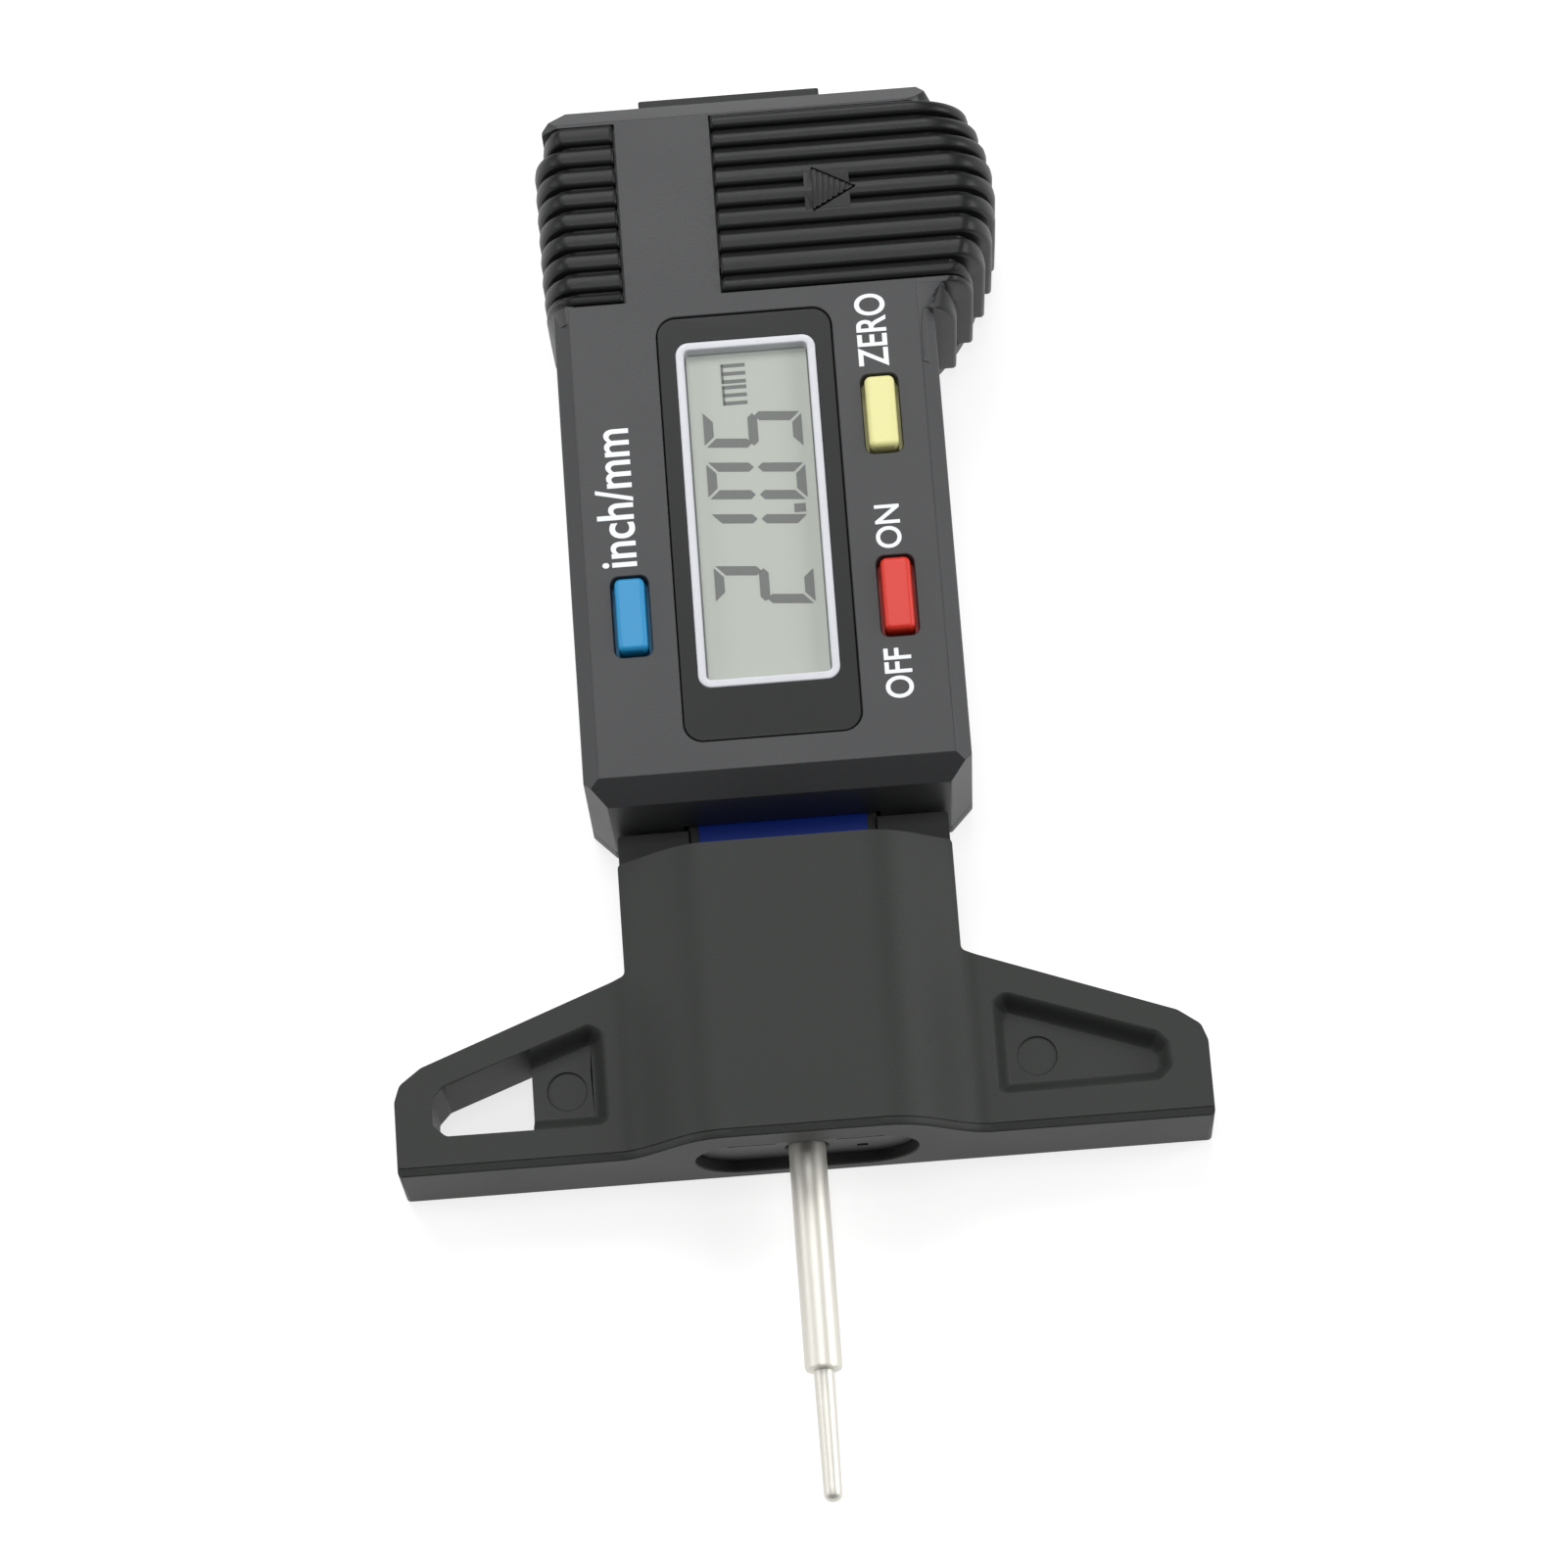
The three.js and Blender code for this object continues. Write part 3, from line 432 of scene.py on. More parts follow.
# y of the grooves between the ribs: left grip, door, and the flank below the door
LEFT_MARKS = [56.17] + [56.93 + 1.5 * k for k in range(8)] + [68.84]
DOOR_MARKS = [56.33, 57.37, 59.02, 60.62, 62.18, 63.67, 65.17, 66.52, 67.85, 68.97]
FLANK_MARKS = [54.15, 55.72, 57.38]
LEFT_REACHES = [12.95, 13.02, 13.08, 13.1, 13.12, 13.14, 13.15, 13.15, 12.5]
ARROW = (5.09, 7.96, 61.5, 64.7)  # x and y of the arrow on the door
RIB = 12.7  # height of the ribs' tops
RIB_DEPTH, RIB_GAP, RIB_CORNER, RIB_CROWN = 0.55, 0.34, 0.28, 0.04
SHOULDER_Z = 9.0  # where a grip's rounded shoulder meets its side wall
DOOR_X = -1.3  # the door's left seam
CELL_X, CELL_Y, CELL_R = 5.3, 62.6, 5.8
ROOF = 11.0  # underside of the housing's face
KEY_Z = 12.95
KEYS = {"mode": (-8.62, 34.3, "blue_key"),
        "zero": (8.48, 46.97, "yellow_key"),
        "power": (8.54, 34.34, "red_key")}
COVER_SCREWS = [(-9.5, 25.4), (9.5, 25.4), (-9.5, 66.9), (9.5, 66.9)]
FOOT_SCREWS = [(-3.75, 8.5), (3.75, 8.5)]
ANCHOR_SCREW = (0, 67.2)


# ------------------------------------------------------------------ foot
def hump(low, drop=0.0, lift=0.0):
    """The foot's (x, z) section: a flat hump that runs down to the wings in a smooth S."""
    flank = []
    for t in np.linspace(0, 1, 22):
        fall = (HUMP_Z - WING_Z) * (1 - math.cos(math.pi * t ** 1.25)) / 2
        flank.append((HUMP_HALF + HUMP_FLANK * t, HUMP_Z - fall - drop + lift))
    beyond = FOOT_HALF + 1
    right = flank + [(beyond, WING_Z - drop + lift), (beyond, low)]
    left = [(-x, z) for x, z in right][::-1]
    return np.array(left + right)[::-1]


def foot_plan():
    """The foot from above: wings with clipped tips, and the neck."""
    right = [(FOOT_HALF, 0), (FOOT_HALF, 4.9), (25.62, 6.0), (24.2, 7.05), (NECK, 12.1), (NECK, NECK_END)]
    radii = [0.3, 0.9, 0.8, 1.2, 0.35, 0.3]
    left = [(-x, y) for x, y in right][::-1]
    return fillet([left[-1]] + right + left[:-1], [radii[0]] + radii + radii[:0:-1], 6)


def pocket_plan(side):
    right = [(12.28, 2.32), (22.75, 2.42), (23.72, 3.3), (23.6, 4.95), (22.9, 5.8), (13.25, 9.22),
             (12.28, 8.5)]
    radii = [0.8, 0.8, 0.8, 0.7, 0.8, 0.8, 0.8]
    if side > 0:
        return fillet(right, radii, 6)
    return fillet([(-x, y) for x, y in right][::-1], radii, 6)


def pocket(side):
    """A pocket's space: a soft rim, sloping walls and a rounded run into the floor."""
    slope, depth = 1.06, WING_Z - POCKET_Z
    levels = []
    for k in range(13):
        t = k / 12
        levels.append((POCKET_Z + depth * (t - 0.09 * math.sin(2 * math.pi * t)), slope * (1 - t)))
    levels += [(WING_Z + 0.02, -0.07), (WING_Z + 1, -0.1)]
    return pillow("Z", pocket_plan(side), levels)


def lean_cut():
    """The hump's section leaning back, which bevels the edge above the measuring face."""
    lean = prism("Y", hump(-30, drop=BEVEL_DROP), -1, 21)
    for v in lean.data.vertices:
        v.co.z += (v.co.y - ORIGIN.y) * BEVEL_DROP / BEVEL_DEPTH
    return lean


def score(body, y0, y1, depth):
    """Cuts a fine line that follows the hump's section."""
    band = prism("Y", hump(-30, lift=3), y0, y1)
    cut(band, prism("Y", hump(-30, drop=depth), y0 - 1, y1 + 1))
    cut(body, band)


def make_foot():
    body = prism("Z", foot_plan(), 0, 11)
    common(body, prism("Y", hump(-0.001), -1, 21), lean_cut())
    shelf = [(-SHELF_HALF, 18), (SHELF_HALF, 18), (SHELF_HALF, SHELF_END), (-SHELF_HALF, SHELF_END)]
    add(body, prism("Z", fillet(shelf, [0, 0, 0.25, 0.25], 4), 0, SHELF_Z))
    score(body, -0.1, 0.06, 0.27)
    score(body, 0.42, 0.54, 0.10)
    window = fillet([(-22.8, 2.42), (-17.2, 2.4), (-17.2, 7.75), (-22.85, 5.68), (-23.6, 4.9),
                     (-23.62, 3.2)], [0.5, 0, 0, 0.5, 0.4, 0.4], 4)
    slot = stadium(7.15, 1.0, 7.4)
    tools = [pocket(1), pocket(-1), prism("Z", window, -1, 9),
             block(-BEAM_HALF - 0.02, BEAM_HALF + 0.02, 2.7, 24, 1.7, 5.85),
             pillow("Y", slot, [(-0.5, -0.13), (-0.001, -0.11), (0.06, -0.03), (0.14, 0), (2.2, 0)]),
             cyl("Y", 0, PROBE_Z, 1.4, 1, 4)]
    for x, y in FOOT_SCREWS:
        tools += [cyl("Z", x, y, 1.05, -1, 3, 32), cyl("Z", x, y, 1.95, -1, 1.0)]
    for x, y in EJECTORS:
        tools.append(pillow("Z", circle(x, y, 1.27), [(POCKET_Z - 0.14, 0.05), (POCKET_Z - 0.05, 0),
                                                      (POCKET_Z, -0.04), (POCKET_Z + 0.1, -0.14)]))
    cut(body, *tools)
    piece(body, "foot_body", "beam_foot", MAT["foot_plastic"], ["foot"], bevel=0.10)


def make_guide():
    """The black insert in the slot, with the probe's hole, a parting line and two small marks."""
    o = pillow("Y", stadium(6.96, 1.19, 7.21), [(0.7, 0.12), (0.75, 0.03), (0.85, 0), (2.0, 0)])
    cut(o, turned([(1.5, 0.5), (1.5, 0.65), (1.3, 0.85), (1.3, 2.3)], (0, PROBE_Z), "Y"),
        block(-6.6, -1.9, 0, 0.9, 4.66, 4.78), block(1.9, 6.6, 0, 0.9, 4.66, 4.78),
        block(-3.6, -2.9, 0, 0.95, 5.2, 5.8), block(3.2, 3.9, 0, 0.95, 2.7, 3.2))
    piece(o, "guide_insert", "beam_foot", MAT["black_plastic"], ["probe_guide"],
          bevel=0.04)


def make_beam():
    half, low, high, groove = BEAM_HALF, BEAM_LOW, BEAM_HIGH, 4.8
    section = [(-half, low), (-1.4, low), (-1.4, groove), (1.4, groove), (1.4, low), (half, low),
               (half, high), (-half, high)]
    o = prism("Y", fillet(section, [0.25, 0.12, 0.1, 0.1, 0.12, 0.25, 0.2, 0.2], 3), 3.0, BEAM_END)
    for x, y in FOOT_SCREWS:
        cut(o, cyl("Z", x, y, 0.95, 0, 4.7, 32))
    piece(o, "beam_bar", "beam_foot", MAT["foot_plastic"], ["beam"], bevel=0.12)
    foil = pillow("Z", rect(-5.45, 5.45, 3.2, 72.5, 0.3), [(BEAM_HIGH + 0.002, 0), (5.57, 0), (5.6, 0.03)])
    piece(foil, "scale_foil", "beam_foot", MAT["blue_film"], ["scale_strip"])


def make_screw(name, place, head, shank, high, tip, body, node):
    """A cross-headed screw driven up from the back: radii, then the heights of its head and tip."""
    x, y = place
    low = 0.12
    profile = [(0, low), (head * 0.72, low), (head * 0.9, low + 0.06), (head, low + 0.2), (head, high),
               (shank, high + 0.02)]
    z = high + 0.1
    while z < tip - 0.4:  # thread ridges
        profile += [(shank * 0.84, z), (shank, z + 0.12), (shank * 0.84, z + 0.24)]
        z += 0.36
    profile += [(shank * 0.8, tip - 0.25), (0, tip)]
    o = turned(profile, place, "Z", 40)
    arm, half = head * 0.55, 0.19
    levels = [(low - 1, 0), (low + 0.1, 0), (low + 0.42, 0.06)]
    cut(o, pillow("Z", rect(x - arm, x + arm, y - half, y + half), levels),
        pillow("Z", rect(x - half, x + half, y - arm, y + arm), levels))
    piece(o, name, body, MAT["screw_steel"], [node])


# ------------------------------------------------------------------ slider shell
def bulge_x(y, radius=BULGE_R):
    """How far the round boss reaches towards +X."""
    return BULGE_X + math.sqrt(max(0.0, radius ** 2 - (y - BULGE_Y) ** 2))


def bend_x(y):
    """Where the flat top turns down: a flare out of the side wall, then round the boss."""
    if y < 56:
        return 11.4 + 2.05 * max(0.0, (y - 50.4) / 5.6) ** 4.2
    radius = 10.5 if y < 60.9 else 12.5
    return 14.67 - radius + math.sqrt(radius ** 2 - (y - 60.9) ** 2)


def grip_section(side, x0, reach, bend, top, low):
    """(x, z) section of a grip: flat from x0 to bend, then an elliptic shoulder to the side wall."""
    zc, inner, steps = SHOULDER_Z, 0.22, 16
    a = max(0.3, reach - bend)
    pts = [(x0, low), (x0, top - inner)]
    for k in range(1, 4):
        t = math.pi / 2 * k / 4
        pts.append((x0 + side * inner * (1 - math.cos(t)), top - inner + inner * math.sin(t)))
    pts.append((x0 + side * inner, top))
    for k in range(steps + 1):
        t = math.pi / 2 * (1 - k / steps)
        pts.append((side * (reach - a + a * math.cos(t)), zc + (top - zc) * math.sin(t)))
    pts.append((side * (reach - 0.02), (zc + low) / 2))
    pts.append((side * (reach - 0.06), low))
    return np.array(pts)


def ribbed(side, x0, marks, reaches, bend, top, low, over=True):
    """A row of ribs with narrow grooves at the marks; each rib has one reach.

    The grooves run over the top as well as down the flank, unless over is False.
    """
    rings = []

    def ring(y, reach, fall):
        lift = fall if over else 0.0
        rings.append(to3(grip_section(side, x0, reach - fall, bend(y) - lift, top - lift, low), y, "Y"))

    last = len(marks) - 2
    for i in range(last + 1):
        lo = marks[i] + (RIB_GAP / 2 if i else 0)
        hi = marks[i + 1] - (RIB_GAP / 2 if i < last else 0)
        reach = reaches[i]
        if i:
            ring(lo, min(reach, reaches[i - 1]), RIB_DEPTH)
        r = min(RIB_CORNER, (hi - lo) / 3)
        turns = [math.pi / 2 * k / 4 for k in range(5)]
        for t in turns:
            ring(lo + r * (1 - math.cos(t)), reach, r * (1 - math.sin(t)))
        ring((lo + hi) / 2, reach, -RIB_CROWN)
        for t in turns[::-1]:
            ring(hi - r * (1 - math.cos(t)), reach, r * (1 - math.sin(t)))
        if i < last:
            ring(hi, min(reach, reaches[i + 1]), RIB_DEPTH)
    return loft(rings)


def reach_at(mark):
    """Each rib of the boss keeps the reach that the round has a little above its lower end."""
    return bulge_x(mark + 0.2)


def door_side(clear):
    """(y, z) outline of the door's space, seen along its slide: the seam falls across one rib."""
    y0, y1 = DOOR_MARKS[0], DOOR_MARKS[-1]
    outline = [(y0, 20), (y0, 11.0), (y0 + 0.33, 9.0), (y0 + 1.05, 6.6), (y0 + 1.05, 0.5),
               (y1, 0.5), (y1, 20)]
    return inset(outline, -clear)


def slider_plan(bulge):
    """The head from above, with or without the round boss."""
    pts = [(-11, Y0), (11, Y0), (HALF, END_Y0)]
    radii = [0.25, 0.25, 0.25]
    if bulge:
        for y in np.linspace(54.0, 69.1, 36):
            pts.append((max(HALF, bulge_x(y, COVER_R)), y))
            radii.append(0)
        pts += [(12.5, Y1)]
        radii += [0.3]
    else:
        pts += [(HALF, END_Y1), (10.9, Y1)]
        radii += [0.25, 0.25]
    pts += [(-10.8, Y1), (-HALF, END_Y1), (-HALF, END_Y0)]
    radii += [0.25, 0.25, 0.25]
    return fillet(pts, radii, 4)


def ends_section():
    """(y, z) section of the head: both ends bevelled at the top."""
    return fillet([(Y0, LOW), (Y1, LOW), (Y1, END_Z), (END_Y1, TOP), (END_Y0, TOP), (Y0, END_Z)],
                  [0, 0, 0.2, 0.2, 0.16, 0.16], 4)


def lower_flank():
    """The housing's own two ribs, below the door: stepped on the flank and smooth on top."""
    o = ribbed(1, 11.2, FLANK_MARKS, [reach_at(m) for m in FLANK_MARKS[:-1]], bend_x, TOP, LOW, over=False)
    flare = [to3(grip_section(1, 11.2, HALF, bend_x(y), TOP, LOW), y, "Y")
             for y in np.linspace(50.4, 54.16, 12)]
    return add(o, loft(flare))


def left_grip():
    """The ribs on the left, with a toe that fades into the side wall."""
    o = ribbed(-1, -7.75, LEFT_MARKS, LEFT_REACHES, lambda y: 11.08, RIB - 0.05, LOW)
    toe = []
    for t in np.linspace(0, 1, 9):
        reach = HALF + 0.5 * math.sin(t * math.pi / 2)
        toe.append(to3(grip_section(-1, -11.0, reach, 11.5, TOP - 0.02, LOW), 54.9 + 1.9 * t, "Y"))
    return add(o, loft(toe))


def outer_shell():
    """The housing's outside as one solid: body, boss end, ribs of the flank and left grip."""
    body = prism("Z", slider_plan(False), LOW, 13)
    sides = fillet([(-HALF, LOW), (HALF, LOW), (HALF, 11.45), (11.45, TOP), (-11.45, TOP), (-HALF, 11.45)],
                   [0, 0, 0.3, 0.3, 0.3, 0.3], 4)
    common(body, prism("X", ends_section(), -30, 30), prism("Y", sides, 21, 72))
    head_plan = [(8, END_Y1 - 0.1), (13.75, END_Y1 - 0.1), (12.5, Y1), (8, Y1)]
    head = prism("Z", fillet(head_plan, [0, 0.3, 0.3, 0], 4), LOW, 13)
    common(head, prism("X", ends_section(), -30, 30),
           prism("Y", grip_section(1, 8, 13.75, 11.5, TOP, LOW), 60, 72))
    add(body, head, lower_flank())
    g0, g1 = LEFT_MARKS[0] - 0.1, LEFT_MARKS[-1] + 0.1
    shoulder = np.array([(-30, 20), (-30, 6), (-12.2, 6), (-9.6, 12.0), (-9.6, 20)])[::-1]
    cut(body, block(-30, -7.6, g0, g1, 12.0, 20), block(-30, -12.0, g0, g1, 0, 20),
        prism("Y", shoulder, g0, g1))
    return add(body, left_grip())


def screw_boss(x, y):
    u0, u1 = sorted((7.9 * np.sign(x), 11.4 * np.sign(x)))
    return block(u0, u1, y - 2, y + 2, LOW, 5.5)


def hollow_out(body):
    """The space inside, the beam's way through, the rails beside it and the screw bosses."""
    wall = 1.35
    cut(body, block(-11, 11, Y0 + wall, 55.4, 0, ROOF), block(-11, DOOR_X - 0.6, 56.2, Y1 - wall, 0, ROOF),
        block(-8, 11, 56.2, Y1 - wall, 0, 4.9), block(-6.4, 6.4, 21, 72, 0, 5.85))
    rails = [block(u0, u1, Y0 + 0.5, Y1 - 0.5, LOW, 5.6) for u0, u1 in ((-8, -6.4), (6.8, 8))]
    add(body, *rails, *[screw_boss(x, y) for x, y in COVER_SCREWS])


def openings():
    """Screw holes, the cell's bay with room for its contacts, the door's space and the windows."""
    tools = [cyl("Z", x, y, 0.95, 0, 5.1, 32) for x, y in COVER_SCREWS]
    tools += [cyl("Z", CELL_X, CELL_Y, CELL_R + 0.2, 5.85, 20, 96),
              block(2.7, 6.3, 55, 59, 5.5, 6.95),
              block(-1.35, 0.2, 55, 65.5, 6.8, 9.6),
              block(-7, -3, 55, 57, 6.8, 9.6),
              block(DOOR_X - 0.06, 30, DOOR_MARKS[0] - 0.06, DOOR_MARKS[-1] + 0.06, 11.35, 20),
              prism("X", door_side(0.06), HALF - 0.35, 30),
              block(DOOR_X - 2.4, 0, 58, 67.2, ROOF - 0.2, 12.0)]
    bezel = rect(-5.8, 5.7, 25.45, 54.8, 1.3, 10)
    tools.append(pillow("Z", bezel, [(10, 0), (12.3, 0), (12.36, -0.02), (12.42, -0.1), (13, -0.1)]))
    for x, y, _ in KEYS.values():
        hole = rect(x - 1.2, x + 1.2, y - 2.75, y + 2.75, 0.5)
        tools.append(pillow("Z", hole, [(10, 0), (12.3, 0), (12.36, -0.03), (12.42, -0.1), (13, -0.1)]))
    return tools


def make_housing():
    body = outer_shell()
    hollow_out(body)
    cut(body, *openings())
    piece(body, "head_shell", "slider", MAT["shell_plastic"], ["front_housing"], bevel=0.06)
    body.data.materials.append(MAT["grip_plastic"])
    for face in body.data.polygons:
        x, y, z = (face.center - ORIGIN) / MM
        on_left = x < -7.72 and LEFT_MARKS[0] < y < LEFT_MARKS[-1]
        on_flank = x > 12.5 and y > FLANK_MARKS[0]
        face.material_index = 1 if z > 2 and (on_left or on_flank) else 0


def make_cover():
    o = pillow("Z", slider_plan(True), round_edge(0, 0.35, 4, -1) + [(1.5, 0), (1.6, 0.06)])
    tools = []
    for x, y in COVER_SCREWS:
        tools += [cyl("Z", x, y, 1.0, -1, 3, 32),
                  pillow("Z", circle(x, y, 1.9), [(-0.2, -0.2), (0, -0.15), (0.15, 0), (1, 0)])]
    x, y = ANCHOR_SCREW
    tools += [cyl("Z", x, y, 0.75, -1, 3, 32),
              pillow("Z", circle(x, y, 1.4), [(-0.2, -0.2), (0, -0.12), (0.12, 0), (0.8, 0)])]
    cut(o, *tools)
    piece(o, "rear_cover", "slider", MAT["shell_plastic"], ["back_cover"], bevel=0.05)


def carve_arrow(door):
    """A plain island across two grooves, with a shallow ridged arrow in it."""
    x0, x1, y0, y1 = ARROW
    mid = (y0 + y1) / 2
    island = rect(x0 - 0.5, x1 - 0.38, 61.6, 64.3)
    add(door, pillow("Z", island, [(11.8, 0), (RIB + 0.01, 0), (RIB + 0.03, 0.03)]))
    arrow = fillet([(x0, y0), (x1, mid), (x0, y1)], 0.1, 3)
    edge = np.array([(x0, y0 - 0.12), (x1, mid - 0.12), (x1, mid + 0.08), (x0, y0 + 0.16)])
    cut(door, pillow("Z", arrow, [(RIB - 0.16, 0.04), (RIB + 1, -0.04)]),
        prism("Z", edge, RIB - 0.42, RIB + 1))
    ridges = []
    for k in range(6):
        x = x0 + 0.18 + 0.37 * k
        half = (y1 - y0) / 2 * (x1 - x) / (x1 - x0) - 0.2
        ridges.append(block(x, x + 0.19, mid - half, mid + half, RIB - 0.5, RIB - 0.02))
    add(door, *ridges)


def make_door():
    y0, y1 = DOOR_MARKS[0] + 0.03, DOOR_MARKS[-1] - 0.03
    marks = [y0] + DOOR_MARKS[1:-1] + [y1]
    reaches = [reach_at(FLANK_MARKS[1])] + [reach_at(m) for m in DOOR_MARKS[1:-1]]
    o = ribbed(1, DOOR_X + 0.03, marks, reaches, bend_x, RIB, 1.9)
    common(o, prism("X", door_side(-0.03), -10, 30))
    carve_arrow(o)
    inner, s0, s1 = HALF - 0.05, y0 + 2.1, y1 - 1.2
    space = [(inner - 1, s0)] + [(bulge_x(y) - 1.9, y) for y in np.linspace(s0, s1, 20)] + [(inner - 1, s1)]
    cut(o, block(-5, inner, 50, 75, 0, 11.5), prism("Z", np.array(space), 0, 9.6))
    add(o, block(DOOR_X - 2, DOOR_X + 0.8, 58.3, 66.9, 11.52, 11.88))  # tongue under the housing's top
    piece(o, "door_panel", "door", MAT["grip_plastic"], ["battery_door"], bevel=0.05)


# ------------------------------------------------------------------ display
FRAME = (-4.66, 4.54, 29.04, 53.02)  # x and y of the window in its border
LINE = 0.55  # width of the bright line round it
GLASS_Z = 11.5  # front of the display's glass, where its digits are


def make_bezel():
    outline = rect(-5.74, 5.64, 25.51, 54.74, 1.24, 10)
    bezel = pillow("Z", outline, [(ROOF - 0.2, 0), (12.24, 0), (12.30, 0.03), (12.32, 0.08)])
    add(bezel, pillow("Z", rect(-6.25, 6.15, 25.0, 55.25, 1.5), [(10.6, 0), (10.9, 0)]))
    cut(bezel, prism("Z", rect(*FRAME, 0.9, 10), 5, 20))
    piece(bezel, "bezel_panel", "slider", MAT["bezel_plastic"], ["display_bezel"])


def make_window_line():
    """The bright line round the window: a ring with a softly rounded top."""
    x0, x1, y0, y1 = FRAME
    outer = rect(x0 + 0.02, x1 - 0.02, y0 + 0.02, y1 - 0.02, 0.88, 10)
    r, low, crest = 0.12, 10.7, 12.22
    section = [(0, low), (0, crest)]
    section += [(r - r * math.cos(a), crest + r * math.sin(a)) for a in np.linspace(0.3, 1.57, 4)]
    section += [(LINE - r + r * math.sin(a), crest + r * math.cos(a)) for a in np.linspace(0, 1.3, 4)]
    section += [(LINE, 12.2), (LINE, low)]
    ring = loft([to3(inset(outer, d), z, "Z") for d, z in section], closed=True)
    piece(ring, "window_line", "slider", MAT["frame_plastic"], ["window_frame"])


def make_display():
    make_bezel()
    make_window_line()
    x0, x1, y0, y1 = FRAME
    g = LINE + 0.02
    lens = pillow("Z", rect(x0 + g, x1 - g, y0 + g, y1 - g, 0.4, 8), [(11.72, 0), (12.06, 0), (12.1, 0.04)])
    piece(lens, "window_glass", "slider", MAT["lens"], ["window_lens"])

    panel = pillow("Z", rect(-5, 5, 27, 53.6, 0.1), [(9.5, 0.03), (9.53, 0), (10.5, 0), (10.53, 0.03)])
    glass = rect(-4.0, 3.9, 29.7, 52.35, 0.1)
    add(panel, pillow("Z", glass, [(10.4, 0), (GLASS_Z - 0.04, 0), (GLASS_Z, 0.04)]))
    piece(panel, "display_panel", "slider", MAT["lcd"], ["lcd_panel"])


def flat_shape(outline):
    """A thin dark shape on the display's glass."""
    return prism("Z", outline, GLASS_Z, GLASS_Z + 0.03)


def seven_segment(ch, x_top, x_bottom, y0, y1, w, lean):
    """Outlines of a seven-segment character whose top points to -X and which reads along +Y."""
    height, width = x_bottom - x_top, y1 - y0
    on = {"2": "abged", "1": "bc", "0": "abcdef", "5": "afgcd"}[ch]
    gap = 0.14
    mid = height / 2

    def put(points):
        return np.array([(x_top + v, y0 + u + lean * (height - v)) for u, v in points])

    def horizontal(v, kind):
        a, b = gap, width - gap
        if kind == "mid":
            return [(a + w / 2, v - w / 2), (b - w / 2, v - w / 2), (b, v), (b - w / 2, v + w / 2),
                    (a + w / 2, v + w / 2), (a, v)]
        s = 1 if kind == "top" else -1
        return [(a, v), (b, v), (b - w, v + s * w), (a + w, v + s * w)]

    def vertical(u, v0, v1, side, upper):
        s = 1 if side == "left" else -1
        a, b = v0 + gap, v1 - gap
        inner = u + s * w
        if upper:
            return [(u, a), (inner, a + w), (inner, b - w / 2), (u + s * w / 2, b), (u, b - w / 2)]
        return [(u, a + w / 2), (u + s * w / 2, a), (inner, a + w / 2), (inner, b - w), (u, b)]

    shapes = {"a": horizontal(0, "top"),
              "g": horizontal(mid, "mid"),
              "d": horizontal(height, "bottom"),
              "f": vertical(0, 0, mid, "left", True),
              "b": vertical(width, 0, mid, "right", True),
              "e": vertical(0, mid, height, "left", False),
              "c": vertical(width, mid, height, "right", False)}
    return [put(shapes[k]) for k in on]


def ccw(p):
    """The outline, turned anticlockwise."""
    x, y = p[:, 0], p[:, 1]
    area = (x * np.roll(y, -1) - np.roll(x, -1) * y).sum()
    return p if area > 0 else p[::-1]


def join_objects(parts):
    bm = bmesh.new()
    for o in parts:
        bm.from_mesh(o.data)
        bpy.data.objects.remove(o)
    mesh = bpy.data.meshes.new("joined")
    bm.to_mesh(mesh)
    bm.free()
    o = bpy.data.objects.new("joined", mesh)
    COLL.objects.link(o)
    return o


def make_digits():
    point = rect(2.35, 3.1, 40.92, 41.5)
    shapes = [point]
    first, pitch, width = 34.57, 3.6, 2.54
    for k, figure in enumerate("2105"):
        start = first + pitch * k
        shapes += seven_segment(figure, -3.14, 3.26, start, start + width, 0.62, 0.08)
    digits = join_objects([flat_shape(ccw(s)) for s in shapes])
    piece(digits, "reading_digits", "slider", MAT["lcd_ink"])


def text(name, words, x0, x1, y0, y1):
    """White lettering on the head's face that fills a box, its tops towards -X, reading along +Y."""
    z, fat, thick = TOP + 0.001, 0.014, 0.02
    curve = bpy.data.curves.new(name, "FONT")
    curve.body = words
    curve.size = 1
    curve.offset = fat
    temp = bpy.data.objects.new(name, curve)
    COLL.objects.link(temp)
    bpy.context.view_layer.update()
    mesh = bpy.data.meshes.new_from_object(temp.evaluated_get(bpy.context.evaluated_depsgraph_get()))
    bpy.data.objects.remove(temp)
    bm = bmesh.new()
    bm.from_mesh(mesh)
    bmesh.ops.remove_doubles(bm, verts=bm.verts, dist=1e-5)
    co = np.array([v.co[:2] for v in bm.verts])
    lo, hi = co.min(0), co.max(0)
    for v in bm.verts:
        u = (v.co.x - lo[0]) / (hi[0] - lo[0])
        t = (v.co.y - lo[1]) / (hi[1] - lo[1])
        v.co = Vector((x1 + (x0 - x1) * t, y0 + (y1 - y0) * u, z)) * MM + ORIGIN
    bmesh.ops.recalc_face_normals(bm, faces=bm.faces)
    if sum(f.normal.z for f in bm.faces) < 0:
        bmesh.ops.reverse_faces(bm, faces=bm.faces)
    out = bmesh.ops.extrude_face_region(bm, geom=bm.faces[:])
    for g in out["geom"]:
        if isinstance(g, bmesh.types.BMVert):
            g.co.z += thick * MM
    bmesh.ops.recalc_face_normals(bm, faces=bm.faces)
    bm.to_mesh(mesh)
    bm.free()
    o = bpy.data.objects.new(name, mesh)
    COLL.objects.link(o)
    piece(o, name, "slider", MAT["legend"])


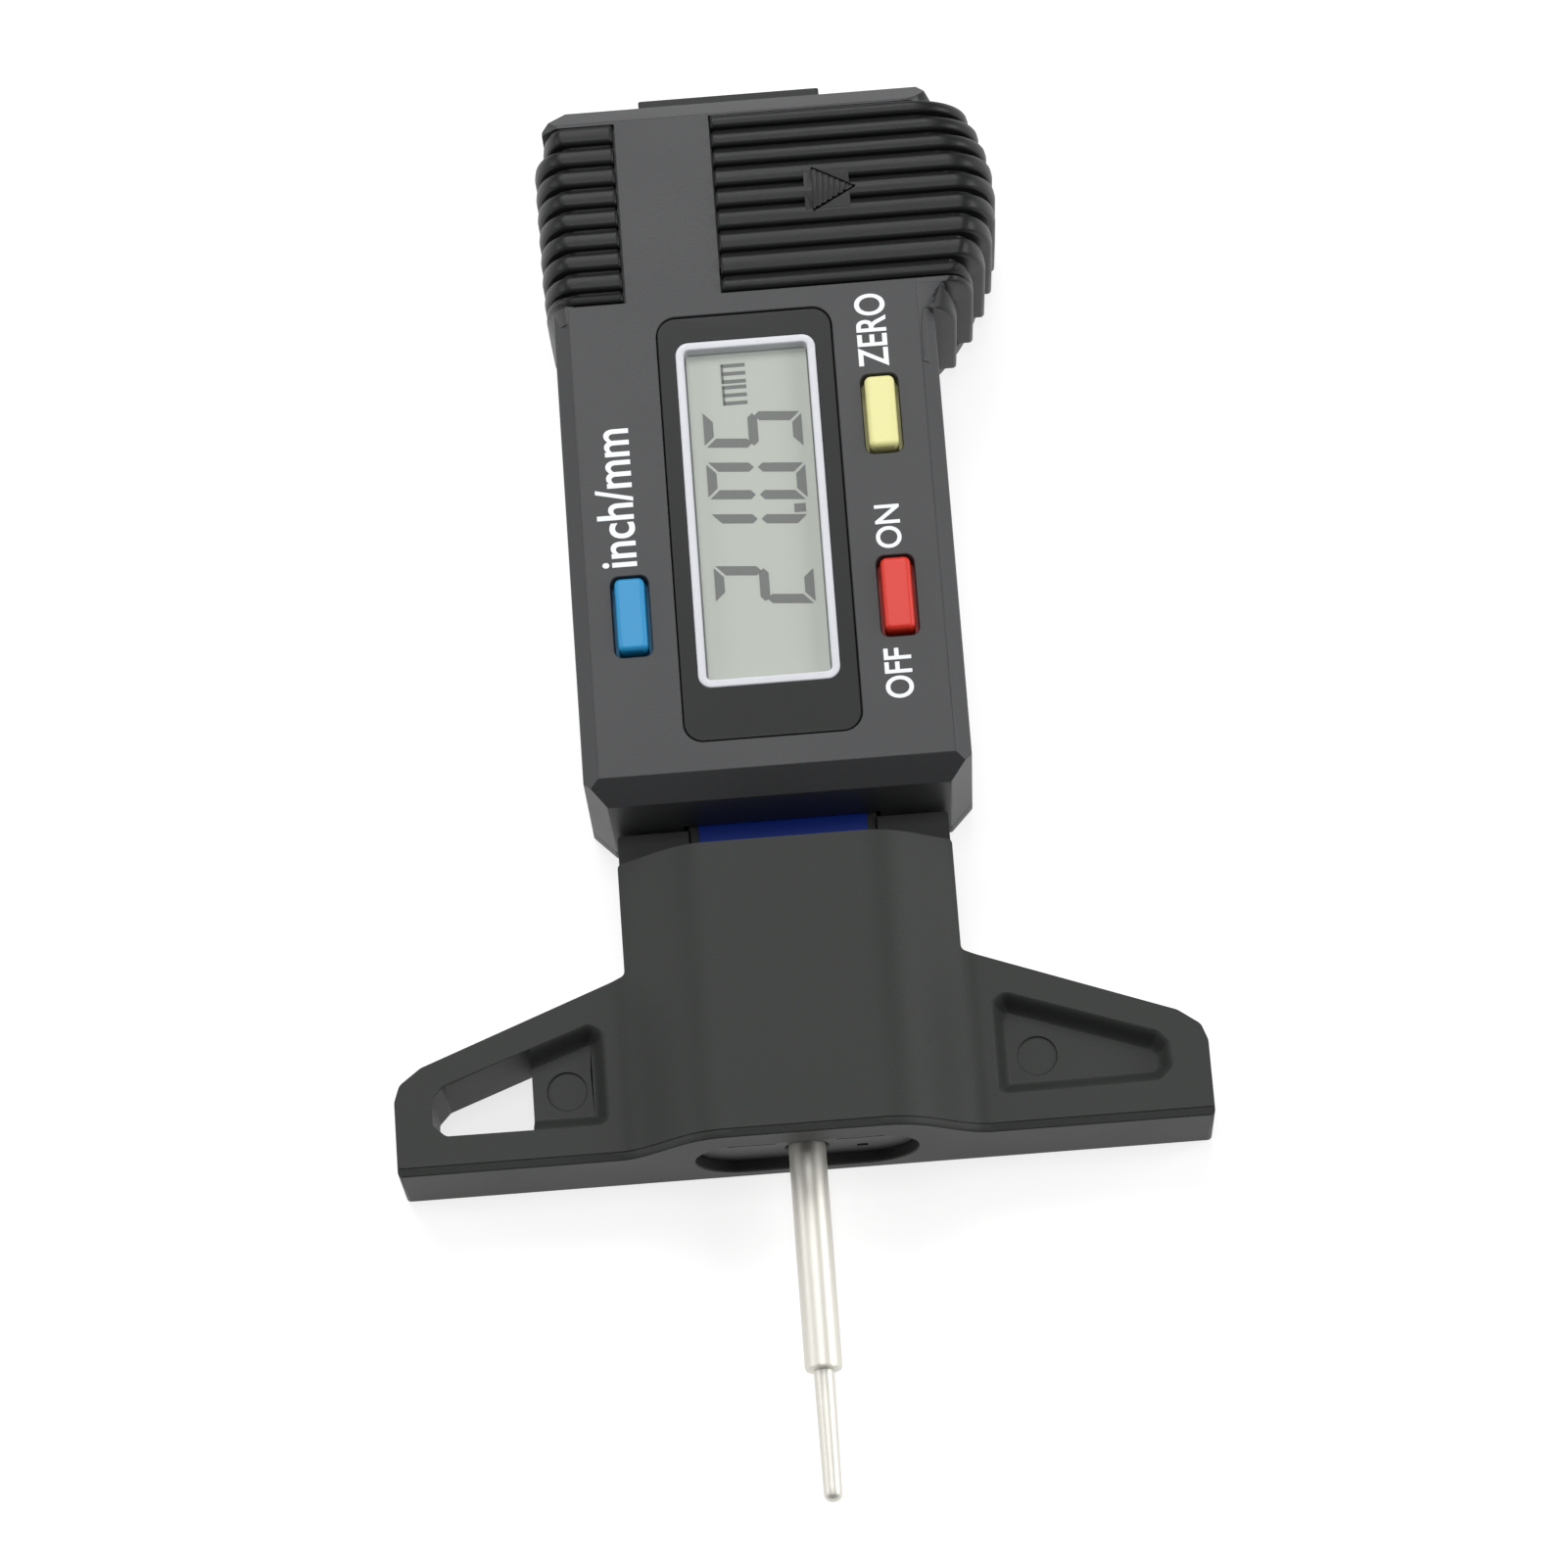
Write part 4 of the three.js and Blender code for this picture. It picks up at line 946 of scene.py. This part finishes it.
def make_legends():
    text("legend_units", "inch/mm", -10.45, -8.0, 37.7, 47.3)
    text("legend_zero", "ZERO", 7.25, 9.25, 50.25, 55.4)
    text("legend_on", "ON", 7.45, 9.1, 37.6, 40.6)
    text("legend_off", "OFF", 7.3, 9.1, 27.35, 30.75)


def make_unit():
    bars = []
    for start in (48.72, 50.24):  # each m is three strokes under a thin line
        bars += [rect(-1.74, -0.17, start + 0.56 * k, start + 0.56 * k + 0.24) for k in range(3)]
        bars.append(rect(-1.76, -1.6, start, start + 1.36))
    unit = join_objects([flat_shape(b) for b in bars])
    piece(unit, "reading_unit", "slider", MAT["lcd_ink"])


# ------------------------------------------------------------------ keys and probe
def make_keys():
    for name, (x, y, slot_key) in KEYS.items():
        plan = rect(x - 0.97, x + 0.97, y - 2.48, y + 2.48, 0.42, 7)
        o = pillow("Z", plan, [(10.2, 0)] + round_edge(KEY_Z, 0.34, 6))
        flange = pillow("Z", rect(x - 1.57, x + 1.57, y - 3.18, y + 3.18, 0.3), [(10, 0), (10.85, 0)])
        add(o, flange, cyl("Z", x, y, 0.75, 8.75, 10.1, 32))
        piece(o, f"{name}_cap", f"{name}_key", MAT[slot_key], [f"{name}_button"])


def make_probe():
    tip = [(0.0, -22.35), (0.22, -22.33), (0.4, -22.24), (0.52, -22.1), (0.58, -21.9), (0.585, -21.5)]
    step = [(0.64, -16.0), (0.65, -14.02), (0.66, -13.98), (1.02, -13.95), (1.12, -13.9), (1.2, -13.7)]
    tail = [(1.2, 62.0), (1.05, 62.2), (0.6, 62.22), (0.6, 65.9), (0.5, 66.0), (0.0, 66.0)]
    o = turned(tip + step + tail, (0, PROBE_Z), "Y", 72)
    piece(o, "probe_pin", "slider", MAT["probe_steel"], ["probe_rod"])


# ------------------------------------------------------------------ surroundings
def make_stage():
    """A plain pale floor that glows softly, an even surround and four soft lights."""
    mesh = bpy.data.meshes.new("floor")
    s = 1.2
    mesh.from_pydata([(-s, -s, 0), (s, -s, 0), (s, s, 0), (-s, s, 0)], [], [(0, 1, 2, 3)])
    floor = bpy.data.objects.new("floor", mesh)
    floor.location.z = -0.00002
    COLL.objects.link(floor)
    grey, white = (0.35, 0.35, 0.35), (1, 1, 1, 1)
    paper = material("floor_paper", grey, 0.8, Emission_Color=white, Emission_Strength=0.74)
    mesh.materials.append(textured(paper, grey, spread=0.01, bump=0.0, grain=300.0, cloud=20.0))
    world = bpy.data.worlds.new("World")
    scene.world = world
    world.use_nodes = True
    background = world.node_tree.nodes["Background"]
    background.inputs["Color"].default_value = white
    background.inputs["Strength"].default_value = 0.22

    def area(name, place, size, power):
        data = bpy.data.lights.new(name, "AREA")
        data.shape = "RECTANGLE"
        data.size, data.size_y = size
        data.energy = power
        o = bpy.data.objects.new(name, data)
        COLL.objects.link(o)
        o.location = place
        o.rotation_euler = (-Vector(place)).to_track_quat("-Z", "Y").to_euler()

    area("key", (-0.12, 0.55, 0.72), (0.6, 0.4), 4.6)
    area("top", (0.0, 0.05, 0.95), (0.25, 0.25), 1.7)
    area("left", (-0.60, 0.05, 0.30), (0.5, 0.3), 1.4)
    area("right", (0.60, 0.05, 0.30), (0.5, 0.3), 2.5)


place_camera()
make_foot()
make_guide()
make_beam()
make_housing()
make_cover()
make_door()
make_display()
make_digits()
make_legends()
make_unit()
make_keys()
make_probe()
for number, place in enumerate(COVER_SCREWS, 1):
    make_screw(f"case_bolt_{number}", place, 1.7, 0.75, 0.85, 4.8, "slider", f"case_screw_{number}")
for side, place in zip(("left", "right"), FOOT_SCREWS):
    make_screw(f"foot_bolt_{side}", place, 1.7, 0.8, 0.85, 4.4, "beam_foot", f"beam_screw_{side}")
make_screw("anchor_bolt", ANCHOR_SCREW, 1.2, 0.5, 0.66, 3.4, "slider", "anchor_screw")
make_stage()
scene.view_settings.view_transform = "Standard"

bpy.context.view_layer.update()
